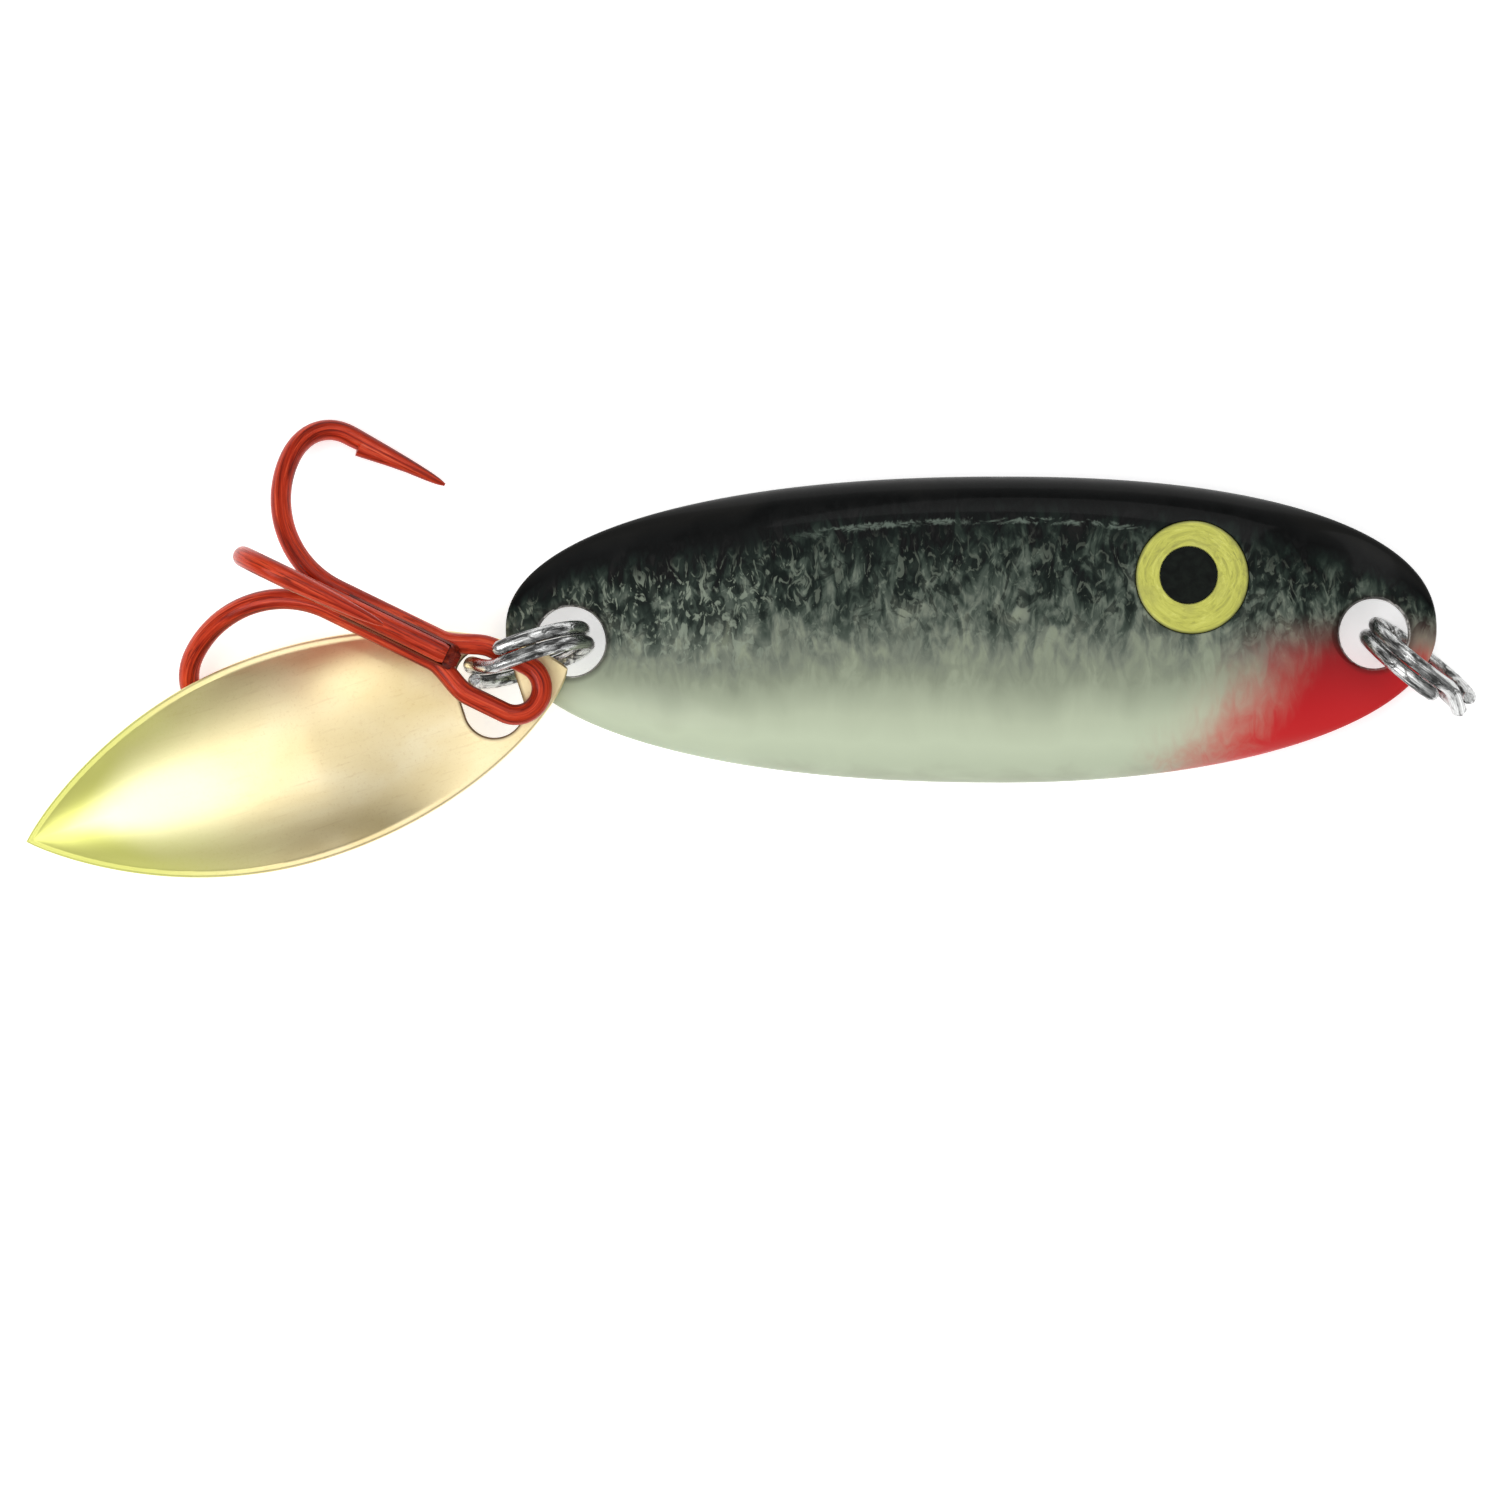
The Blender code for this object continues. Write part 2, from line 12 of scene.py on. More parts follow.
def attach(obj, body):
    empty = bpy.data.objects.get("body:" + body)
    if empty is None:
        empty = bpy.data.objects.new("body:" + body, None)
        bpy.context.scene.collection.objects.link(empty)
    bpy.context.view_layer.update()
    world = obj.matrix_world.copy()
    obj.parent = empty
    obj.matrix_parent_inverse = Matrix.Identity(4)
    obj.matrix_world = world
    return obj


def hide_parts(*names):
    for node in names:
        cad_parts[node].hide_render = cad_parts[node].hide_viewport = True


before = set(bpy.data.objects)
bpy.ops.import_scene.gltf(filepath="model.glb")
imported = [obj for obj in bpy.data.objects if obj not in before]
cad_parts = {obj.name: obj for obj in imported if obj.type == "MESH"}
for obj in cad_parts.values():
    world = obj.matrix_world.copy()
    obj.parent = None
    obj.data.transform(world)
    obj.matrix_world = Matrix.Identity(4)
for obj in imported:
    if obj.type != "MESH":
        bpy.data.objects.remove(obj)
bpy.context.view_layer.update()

MM = 0.001

# Body
CREST_X = 1.5
FRONT = 21.0
REAR = 24.0
HALF_DEPTH = 7.4
POWER = 2.2
FORE_POWERS = (2.3, 2.06)
HALF_THICK = 2.0
END_HALF_THICK = 0.8
NOSE_TAPER = (12.6, 19.0)
TAIL_TAPER = (-9.5, -18.5)
EDGE_START = 0.72
BODY_SIDES = 360
FLAT_LOOPS = 12
EDGE_LOOPS = 18
HOLE_RADIUS = 1.68
HOLE_BAND = 0.58
NOSE_HOLE = (19.45, -0.20)
TAIL_HOLE = (-19.35, -0.58)
ROUND_SIDES = 160

# Eyes
EYE_AT = (10.60, 2.50)
PUPIL_AT = (10.43, 2.60)
EYE_RADIUS = 2.72
PUPIL_RADIUS = 1.38
SOCKET_DEPTH = 0.35
PUPIL_POCKET = 0.14
FIT = 0.04

# Split rings
RING_RADIUS = 2.85
RING_WIRE = 0.70
RING_GAP = 0.04
RING_Z = RING_RADIUS + RING_WIRE / 2 + 0.04
RING_STEPS = 150
RING_JOG = math.radians(50)
RING_SPLIT = math.radians(5)
RING_SPLIT_AT = math.radians(60)
NOSE_PIVOT = (19.25, -0.05)
NOSE_HEADING = math.radians(-38)
TAIL_PIVOT = (-18.63, -0.36)
TAIL_HEADING = math.radians(198)
RING_TILT = math.radians(8)

# Treble hook
HOOK_WIRE = 1.0
WIRE_PITCH = 1.04
HOOK_HEADING = math.radians(154)
HOOK_PITCH = math.radians(3.5)
HOOK_Z = 4.29
PRONG_SPREAD = math.radians(30)
EYE_END = -3.42
EYE_HALF_WIDTH = 1.27
EYE_NECK = (-0.3, 2.1)
BEND_START = 7.6
BEND_OUTER = 12.42
BEND_RADIAL = 6.1
BEND_PULLS = (2.8, 3.2)
GAPE = 8.65
TURN_PULL = (11.6, 7.6)
POINT_START = 10.4
POINT_TIP = 5.1
TIP_RADIAL = 8.5
TAPER_LENGTH = 5.0
TAPER_POWER = 0.42
TIP_RADIUS = 0.08
BARB_HEIGHT = 0.36
BARB_FROM = 1.8
BARB_TO = 4.56
THIRD_START = 1.6
WIRE_SIDES = 28
BRAZE_START = 0.9
BRAZE_END = 7.0
BRAZE_BASE = 0.30
BRAZE_HEIGHT = 0.74
WIRE_CLEAR = 0.54  # radius of the room that the braze leaves round each wire

# Blade
BLADE_HALF_LENGTH = 13.75
BLADE_HALF_WIDTH = 5.2
BLADE_THICK = 0.45
BLADE_TIP_POWER = 0.90
BLADE_ROOT_POWER = 0.75
BLADE_DOME = 1.55
BLADE_LIP = 0.34
BLADE_HOLE_RADIUS = 1.45
BLADE_HOLE_STRAIGHT = 0.72
BLADE_HOLE_FROM_END = 3.95
BLADE_HEADING = math.radians(197.7)
BLADE_SLOPE = math.atan(0.042)
BLADE_ROLL = math.radians(3)
BLADE_Z = 2.62
BLADE_SLACK = (0.40, 1.08)


# ---------------------------------------------------------------- meshes


def smooth_step(value, start, end):
    t = min(1.0, max(0.0, (value - start) / (end - start)))
    return t * t * (3 - 2 * t)


def object_from(name, bm, finish=None, smooth_angle=35):
    """An object from a bmesh in millimetres, with its faces pointing out."""
    bmesh.ops.recalc_face_normals(bm, faces=bm.faces)
    bmesh.ops.scale(bm, vec=(MM, MM, MM), verts=bm.verts)
    mesh = bpy.data.meshes.new(name)
    bm.to_mesh(mesh)
    bm.free()
    mesh.shade_smooth()
    mesh.set_sharp_from_angle(angle=math.radians(smooth_angle))
    obj = bpy.data.objects.new(name, mesh)
    bpy.context.scene.collection.objects.link(obj)
    if finish:
        mesh.materials.append(finish)
    return obj


def join_loops(bm, loops):
    for first, second in zip(loops, loops[1:]):
        for k in range(len(first)):
            after = (k + 1) % len(first)
            bm.faces.new((first[k], first[after], second[after], second[k]))
    bm.faces.new(loops[0])
    bm.faces.new(loops[-1])


def turned(profile, sides=ROUND_SIDES):
    """A solid of revolution about Z, from (radius, height) pairs."""
    bm = bmesh.new()
    loops = []
    for radius, height in profile:
        loop = []
        for k in range(sides):
            turn = 2 * math.pi * k / sides
            loop.append(bm.verts.new((radius * math.cos(turn), radius * math.sin(turn), height)))
        loops.append(loop)
    join_loops(bm, loops)
    return bm


def carve(obj, cutters):
    """Takes the cutters out of obj for good and removes them."""
    for cutter in cutters:
        step = obj.modifiers.new("carve", "BOOLEAN")
        step.operation = "DIFFERENCE"
        step.solver = "EXACT"
        step.object = cutter
    bpy.context.view_layer.update()
    graph = bpy.context.evaluated_depsgraph_get()
    mesh = bpy.data.meshes.new_from_object(obj.evaluated_get(graph))
    obj.modifiers.clear()
    obj.data = mesh
    for cutter in cutters:
        bpy.data.objects.remove(cutter, do_unlink=True)
    mesh.shade_smooth()
    mesh.set_sharp_from_angle(angle=math.radians(30))


def settle(obj, place):
    """Keeps the mesh's own coordinates, in millimetres, in "own" and moves it to its place."""
    mesh = obj.data
    own = []
    for vertex in mesh.vertices:
        own += [value / MM for value in vertex.co]
    attribute = mesh.attributes.new("own", "FLOAT_VECTOR", "POINT")
    attribute.data.foreach_set("vector", own)
    mesh.transform(place)
    mesh.update()


def stands_for(obj, body, slot, *nodes):
    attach(obj, body)
    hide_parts(*nodes)
    return obj


# ---------------------------------------------------------------- node graphs


def srgb(red, green, blue):
    """A linear colour from its 0 to 255 screen values."""
    made = []
    for value in (red, green, blue):
        share = value / 255
        made.append(share / 12.92 if share <= 0.04045 else ((share + 0.055) / 1.055) ** 2.4)
    return (*made, 1.0)


class Graph:
    """A material's node tree, with short calls for the nodes that the finishes use."""

    def __init__(self, name):
        self.material = bpy.data.materials.new(name)
        self.material.use_nodes = True
        self.nodes = self.material.node_tree.nodes
        self.links = self.material.node_tree.links
        self.shader = self.nodes["Principled BSDF"]

    def add(self, kind, **settings):
        node = self.nodes.new(kind)
        for name, value in settings.items():
            setattr(node, name, value)
        return node

    def feed(self, socket, value):
        if isinstance(value, bpy.types.NodeSocket):
            self.links.new(value, socket)
        elif value is not None:
            socket.default_value = value

    def put(self, name, value):
        """Sets or links one of the shader's own sockets."""
        self.feed(self.shader.inputs[name], value)

    def sum(self, operation, *values):
        node = self.add("ShaderNodeMath", operation=operation)
        for socket, value in zip(node.inputs, values):
            self.feed(socket, value)
        return node.outputs[0]

    def rise(self, value, start, end, low=0.0, high=1.0):
        """low before start and high after end, with a smooth rise between."""
        node = self.add("ShaderNodeMapRange", interpolation_type="SMOOTHSTEP")
        for socket, given in zip(node.inputs, (value, start, end, low, high)):
            self.feed(socket, given)
        return node.outputs[0]

    def blend(self, share, first, second, kind="MIX"):
        node = self.add("ShaderNodeMix", data_type="RGBA", blend_type=kind)
        self.feed(node.inputs[0], share)
        self.feed(node.inputs[6], first)
        self.feed(node.inputs[7], second)
        return node.outputs[2]

    def ramp(self, share, stops, smooth=False):
        node = self.add("ShaderNodeValToRGB")
        ramp = node.color_ramp
        ramp.interpolation = "EASE" if smooth else "LINEAR"
        while len(ramp.elements) < len(stops):
            ramp.elements.new(0.5)
        for element, (place, colour) in zip(ramp.elements, stops):
            element.position = place
            element.color = colour
        self.feed(node.inputs[0], share)
        return node.outputs[0]

    def stretch(self, vector, scale, shift=(0, 0, 0)):
        node = self.add("ShaderNodeMapping")
        self.feed(node.inputs["Vector"], vector)
        node.inputs["Scale"].default_value = scale
        node.inputs["Location"].default_value = shift
        return node.outputs[0]

    def noise(self, vector, scale=1.0, detail=4.0, rough=0.55, twist=0.0):
        node = self.add("ShaderNodeTexNoise")
        self.feed(node.inputs["Vector"], vector)
        node.inputs["Scale"].default_value = scale
        node.inputs["Detail"].default_value = detail
        node.inputs["Roughness"].default_value = rough
        node.inputs["Distortion"].default_value = twist
        return node.outputs[0]

    def own_mm(self):
        """The piece's own coordinates in millimetres, as a vector and as x, y and z."""
        made = self.stretch(self.add("ShaderNodeTexCoord").outputs["Object"], (1000, 1000, 1000))
        parts = self.add("ShaderNodeSeparateXYZ")
        self.links.new(made, parts.inputs[0])
        return made, *parts.outputs

    def kept_mm(self, name):
        """Coordinates kept in a mesh attribute, as a vector and as its three numbers."""
        made = self.add("ShaderNodeAttribute", attribute_name=name).outputs["Vector"]
        parts = self.add("ShaderNodeSeparateXYZ")
        self.links.new(made, parts.inputs[0])
        return made, *parts.outputs

    def joined(self, x, y, z):
        node = self.add("ShaderNodeCombineXYZ")
        for socket, value in zip(node.inputs, (x, y, z)):
            self.feed(socket, value)
        return node.outputs[0]

    def distance(self, x, y, place):
        """Distance in the XY plane from a place."""
        across = self.sum("SUBTRACT", x, place[0])
        up = self.sum("SUBTRACT", y, place[1])
        squares = self.sum("ADD", self.sum("MULTIPLY", across, across), self.sum("MULTIPLY", up, up))
        return self.sum("SQRT", squares)

    def bump(self, height, depth_mm, strength=1.0, under=None):
        node = self.add("ShaderNodeBump")
        node.inputs["Strength"].default_value = strength
        node.inputs["Distance"].default_value = depth_mm * MM
        self.feed(node.inputs["Height"], height)
        self.feed(node.inputs["Normal"], under)
        return node.outputs[0]


# Body paint from the back (0) to the belly (1). The lighter first stop is a painted sheen along the rounded
# back, and the last stop is slightly darker at the belly's edge.
BACK_TO_BELLY = (
    (0.00, (26, 26, 25)),
    (0.05, (16, 17, 17)),
    (0.09, (8, 9, 9)),
    (0.14, (14, 18, 17)),
    (0.22, (22, 31, 27)),
    (0.30, (38, 48, 42)),
    (0.37, (62, 72, 64)),
    (0.44, (80, 89, 80)),
    (0.51, (100, 108, 97)),
    (0.58, (120, 127, 113)),
    (0.66, (138, 146, 126)),
    (0.72, (160, 169, 146)),
    (0.80, (184, 194, 168)),
    (0.88, (194, 205, 178)),
    (0.95, (189, 200, 174)),
    (1.00, (176, 184, 160)),
)
RED_BACK_TO_BELLY = (
    (0.30, (30, 22, 19)),
    (0.42, (58, 32, 28)),
    (0.50, (98, 40, 36)),
    (0.58, (150, 32, 35)),
    (0.70, (178, 34, 38)),
    (0.80, (194, 38, 42)),
    (0.90, (205, 46, 48)),
    (1.00, (204, 56, 54)),
)


DARK_SPOT = srgb(10, 19, 16)
PALE_FLECK = srgb(140, 150, 134)
# Colour of the painted highlight line where the flat of the side meets the rounded back
EDGE_HIGHLIGHT_COLOUR = srgb(128, 142, 130)
PINK_DUST = srgb(176, 110, 104)
HOLE_SHADE = srgb(34, 28, 26)
BARE_METAL = srgb(196, 192, 188)


def stops(pairs):
    return [(place, srgb(*colour)) for place, colour in pairs]


def fish_height(g, x, y):
    """Height on the side of the fish, from 1 along the back to -1 along the belly, and the share
    of the way from the middle to the outline."""
    along = g.sum("SUBTRACT", x, CREST_X)
    in_front = g.sum("GREATER_THAN", along, 0.0)
    length = g.sum("MULTIPLY_ADD", in_front, FRONT - REAR, REAR)
    lengthwise = g.sum("POWER", g.sum("ABSOLUTE", g.sum("DIVIDE", along, length)), POWER)
    upright = g.sum("POWER", g.sum("ABSOLUTE", g.sum("DIVIDE", y, HALF_DEPTH)), POWER)
    outline = g.sum("POWER", g.sum("ADD", lengthwise, upright), 1 / POWER)
    depth = g.sum("POWER", g.sum("MAXIMUM", g.sum("SUBTRACT", 1.0, lengthwise), 0.04), 1 / POWER)
    height = g.sum("DIVIDE", y, g.sum("MULTIPLY", depth, HALF_DEPTH))
    darker_tail = g.sum("MULTIPLY", g.rise(x, -8.0, -12.5), 0.10)
    darker_nose = g.rise(x, 12.0, 18.0, 0.0, 0.10)
    return g.sum("ADD", height, g.sum("ADD", darker_tail, darker_nose)), outline


def about_zero(g, noise, width):
    """A noise moved to run about zero, over this width."""
    return g.sum("MULTIPLY", g.sum("SUBTRACT", noise, 0.5), width)


def mottled_paint(g, x, height, middle, noises):
    """Paint from the dark back to the pale belly, with a painted sheen along the very top of the back, laid
    over a brushed, scaly base.
    """
    wander = g.sum("MULTIPLY", g.rise(noises["blotch"], 0.36, 0.64, -0.21, 0.21), middle)
    streaky = g.sum("MULTIPLY", g.rise(noises["stroke"], 0.36, 0.64, -0.16, 0.16), middle)
    drift = about_zero(g, noises["soft"], 0.22)
    painted = g.sum("ADD", g.sum("ADD", height, drift), g.sum("ADD", wander, streaky))
    colour = g.ramp(g.sum("MULTIPLY_ADD", painted, -0.5, 0.5), stops(BACK_TO_BELLY))

    upper = g.sum("MULTIPLY", g.rise(height, -0.18, 0.22), g.rise(height, 0.86, 0.60))
    dark_spots = g.sum("MULTIPLY", g.rise(noises["speck"], 0.51, 0.60), upper)
    colour = g.blend(g.sum("MULTIPLY", dark_spots, 0.72), colour, DARK_SPOT)
    low_middle = g.sum("MULTIPLY", g.rise(height, -0.40, 0.0), g.rise(height, 0.72, 0.42))
    worn_tail = g.rise(x, -6.0, -13.0, 0.28, 0.70)
    flecks = g.sum("MULTIPLY", g.rise(noises["fine"], 0.53, 0.64), g.sum("MULTIPLY", low_middle, worn_tail))
    return g.blend(flecks, colour, PALE_FLECK)


def painted_edge_highlight(g, mm, x, y, outline, fine, colour):
    """A painted highlight line where the flat of the side meets the rounded back."""
    ragged = g.sum("MULTIPLY_ADD", g.sum("SUBTRACT", fine, 0.5), 0.07, outline)
    band = g.sum("MULTIPLY", g.rise(ragged, 0.680, 0.704), g.rise(ragged, 0.732, 0.712))
    lengthwise = g.sum("MULTIPLY", g.rise(x, -9.5, -5.5), g.rise(x, 9.5, 6.5))
    on_back = g.sum("MULTIPLY", g.rise(y, 2.6, 4.2), lengthwise)
    broken = g.rise(g.noise(g.stretch(mm, (0.9, 2.0, 1.0), (2, 2, 2)), 0.7, 4, 0.7, 1.0), 0.44, 0.58)
    highlight_share = g.sum("MULTIPLY", g.sum("MULTIPLY", band, on_back), g.sum("MULTIPLY", broken, 0.50))
    return g.blend(highlight_share, colour, EDGE_HIGHLIGHT_COLOUR)


def red_throat(g, x, y, height, noises, colour):
    """Red sprayed on from below the nose. It fades out at about the height of the nose hole."""
    across = g.sum("MULTIPLY", g.sum("SUBTRACT", x, 11.9), 0.768)
    down = g.sum("MULTIPLY", g.sum("ADD", y, 5.5), -0.640)
    spray = g.sum("ADD", g.sum("ADD", across, down), about_zero(g, noises["stroke"], 1.8))
    spray = g.sum("ADD", spray, about_zero(g, noises["soft"], 1.6))
    above = g.sum("ADD", y, g.rise(x, 18.4, 20.4, 0.0, 1.5))
    above = g.sum("ADD", above, about_zero(g, noises["stroke"], 1.6))
    red = g.sum("MULTIPLY", g.rise(spray, -2.1, 2.1), g.rise(above, 1.3, -0.7))
    dusted = g.blend(g.sum("MULTIPLY", g.rise(spray, -3.4, 0.4), 0.35), colour, PINK_DUST)
    colour = g.blend(g.rise(y, 1.0, -1.5), colour, dusted)
    plain_share = g.sum("MULTIPLY_ADD", height, -0.5, 0.5)
    return g.blend(red, colour, g.ramp(plain_share, stops(RED_BACK_TO_BELLY)))


def bare_holes(g, mm, x, y, colour):
    """Shaded countersinks, with bare metal in the holes. Gives the colour and where it is bare."""
    near = g.sum("MINIMUM", g.distance(x, y, NOSE_HOLE), g.distance(x, y, TAIL_HOLE))
    chipped = g.noise(g.stretch(mm, (1.6, 1.6, 1.0), (4, 4, 4)), 1.0, 4, 0.7, 0.6)
    near_chip = g.sum("ADD", near, about_zero(g, chipped, 0.34))
    colour = g.blend(g.rise(near, 2.10, 1.80, 0.0, 0.45), colour, HOLE_SHADE)
    bare = g.sum("MULTIPLY", g.rise(near_chip, 1.80, 1.73), g.rise(chipped, 0.44, 0.58, 0.15, 0.9))
    return g.blend(bare, colour, BARE_METAL), bare


def body_paint():
    g = Graph("spoon_paint")
    mm, x, y, _ = g.own_mm()
    height, outline = fish_height(g, x, y)
    middle = g.sum("MULTIPLY", g.rise(height, -0.50, 0.22), g.rise(height, 0.92, 0.60))
    noises = {
        "blotch": g.noise(g.stretch(mm, (1.0, 0.60, 1.0)), 0.66, 3, 0.52, 1.1),
        "stroke": g.noise(g.stretch(mm, (1.9, 0.72, 1.6), (3, 8, 1)), 0.78, 4, 0.52, 1.3),
        "speck": g.noise(g.stretch(mm, (1.3, 1.0, 2.0), (7, 2, 5)), 0.72, 3, 0.50, 1.6),
        "soft": g.noise(g.stretch(mm, (0.55, 0.25, 1.0), (1, 4, 2)), 0.8, 3, 0.5, 0.4),
        "fine": g.noise(g.stretch(mm, (2.1, 1.1, 2.0), (5, 1, 9)), 0.95, 3, 0.55, 1.8),
    }
    colour = mottled_paint(g, x, height, middle, noises)
    # Painted highlight along the line where the flat of the side meets the rounded back
    colour = painted_edge_highlight(g, mm, x, y, outline, noises["fine"], colour)
    colour = red_throat(g, x, y, height, noises, colour)
    colour, bare = bare_holes(g, mm, x, y, colour)

    g.put("Base Color", colour)
    g.put("Metallic", g.sum("MULTIPLY", bare, 0.9))
    g.put("Roughness", g.sum("ADD", 0.36, about_zero(g, noises["blotch"], 0.3)))
    g.put("Specular IOR Level", 0.03)
    g.put("Coat Weight", 0.11)
    g.put("Coat Roughness", 0.10)
    fine_relief = g.sum("MULTIPLY", g.sum("MULTIPLY", noises["fine"], middle), 0.5)
    relief = g.sum("ADD", g.sum("MULTIPLY", noises["stroke"], middle), fine_relief)
    peel = g.noise(mm, 1.7, 2, 0.5, 0.2)
    g.put("Normal", g.bump(relief, 0.05, 0.45, g.bump(peel, 0.02, 0.25)))
    return g.material


def iris_paint():
    """Brushed-on yellow, with strokes that run round the eye."""
    g = Graph("iris_paint_fine")
    mm, x, y, _ = g.own_mm()
    radius = g.distance(x, y, EYE_AT)
    turn = g.sum("ARCTAN2", g.sum("SUBTRACT", y, EYE_AT[1]), g.sum("SUBTRACT", x, EYE_AT[0]))
    ring = g.joined(
        g.sum("MULTIPLY", g.sum("COSINE", turn), 1.5),
        g.sum("MULTIPLY", g.sum("SINE", turn), 1.5),
        g.sum("MULTIPLY", radius, 3.2),
    )
    strokes = g.noise(ring, 1.1, 6, 0.68, 0.9)
    patches = g.noise(g.stretch(mm, (0.8, 0.8, 0.8), (2, 7, 1)), 0.9, 3, 0.5, 0.5)
    tones = ((0.30, (150, 150, 58)), (0.47, (186, 187, 70)), (0.60, (203, 204, 86)), (0.72, (222, 222, 122)))
    colour = g.ramp(strokes, stops(tones))
    colour = g.blend(g.rise(patches, 0.48, 0.72, 0.0, 0.45), colour, srgb(166, 166, 74))
    # Dark scratch strokes round the eye, made heavier towards one side as painted shade
    scratches = g.noise(ring, 4.2, 4, 0.75, 1.5)
    shaded_side = g.rise(g.sum("ADD", x, g.sum("MULTIPLY", y, 0.6)), 12.6, 15.2)
    marks = g.sum("MULTIPLY", g.rise(scratches, 0.54, 0.66), g.sum("MULTIPLY_ADD", shaded_side, 0.5, 0.12))
    colour = g.blend(marks, colour, srgb(104, 104, 46))
    # A darker ring at the edge of the iris, partly a painted ring and partly painted shade where the disc
    # meets its socket
    rim = g.rise(radius, EYE_RADIUS - 0.16, EYE_RADIUS - 0.02, 0.0, 0.75)
    colour = g.blend(rim, colour, srgb(96, 98, 46))
    g.put("Base Color", colour)
    g.put("Roughness", g.rise(strokes, 0.3, 0.7, 0.5, 0.32))
    g.put("Coat Weight", 0.3)
    g.put("Coat Roughness", 0.2)
    g.put("Normal", g.bump(strokes, 0.03, 0.4))
    return g.material


def pupil_paint():
    g = Graph("pupil_paint_fine")
    mm, *_ = g.own_mm()
    dots = g.noise(mm, 2.4, 5, 0.6, 0.4)
    g.put("Base Color", g.ramp(dots, [(0.35, srgb(9, 12, 10)), (0.65, srgb(20, 25, 21))]))
    g.put("Roughness", g.rise(dots, 0.3, 0.7, 0.34, 0.48))
    g.put("Specular IOR Level", 0.05)
    g.put("Coat Weight", 0.05)
    g.put("Coat Roughness", 0.22)
    g.put("Normal", g.bump(dots, 0.02, 0.35))
    return g.material


def ring_steel():
    """Drawn steel wire: fine lines along it, dark patches that are partly tarnish and partly painted dark
    reflection, and small dents.
    """
    g = Graph("ring_steel_fine")
    wire, *_ = g.kept_mm("wire")
    lines = g.noise(g.stretch(wire, (0.35, 5.5, 5.5)), 1.3, 5, 0.7, 0.3)
    tarnish_and_reflection = g.noise(g.stretch(wire, (0.9, 1.0, 1.0), (5, 3, 2)), 0.9, 6, 0.68, 0.9)
    dents = g.noise(g.stretch(wire, (1.3, 1.1, 1.1), (9, 1, 4)), 1.1, 3, 0.5, 0.6)
    colour = g.ramp(lines, stops(((0.30, (120, 121, 122)), (0.48, (190, 191, 190)), (0.66, (232, 233, 232)))))
    # Dark patches, partly tarnish and partly painted dark reflection
    colour = g.blend(g.rise(tarnish_and_reflection, 0.48, 0.60, 0.0, 0.88), colour, srgb(34, 34, 33))
    g.put("Base Color", colour)
    g.put("Metallic", 1.0)
    g.put("Roughness", g.sum("ADD", g.rise(tarnish_and_reflection, 0.4, 0.72, 0.12, 0.36), g.sum("MULTIPLY", lines, 0.08)))
    g.put("Normal", g.bump(dents, 0.10, 0.5, g.bump(lines, 0.02, 0.5)))
    return g.material


def hook_lacquer(name, groove_shade):
    """Red lacquer over steel wire, thin on the high lines. The second argument is how much near-black painted
    shade covers it, for the groove between the wires.
    """
    g = Graph(name)
    wire, *_ = g.kept_mm("wire")
    streaks = g.noise(g.stretch(wire, (0.16, 2.1, 2.1)), 1.2, 5, 0.62, 0.5)
    fine = g.noise(g.stretch(wire, (0.5, 4.6, 4.6), (3, 5, 1)), 1.2, 4, 0.65, 0.8)
    pools_and_shade = g.noise(g.stretch(wire, (0.55, 0.9, 0.9), (7, 2, 6)), 0.8, 4, 0.6, 0.6)
    colour = g.ramp(
        streaks,
        stops(((0.34, (104, 20, 8)), (0.46, (168, 44, 20)), (0.56, (200, 62, 32)), (0.70, (226, 98, 64)))),
    )
    colour = g.blend(g.rise(fine, 0.52, 0.66, 0.0, 0.7), colour, srgb(74, 14, 6))
    colour = g.blend(g.rise(pools_and_shade, 0.50, 0.74, 0.0, 0.45), colour, srgb(160, 28, 14))
    # Near-black painted shade for the groove between the wires, used on the braze
    colour = g.blend(g.rise(pools_and_shade, 0.25, 0.60, groove_shade, groove_shade * 0.7), colour, srgb(30, 6, 4))
    g.put("Base Color", colour)
    g.put("Metallic", 0.12)
    g.put("Roughness", g.rise(fine, 0.35, 0.7, 0.26, 0.42))
    g.put("Specular IOR Level", 0.10)
    g.put("Coat Weight", 0.14)
    g.put("Coat Roughness", 0.08)
    g.put("Normal", g.bump(streaks, 0.05, 0.5, g.bump(fine, 0.02, 0.4)))
    return g.material


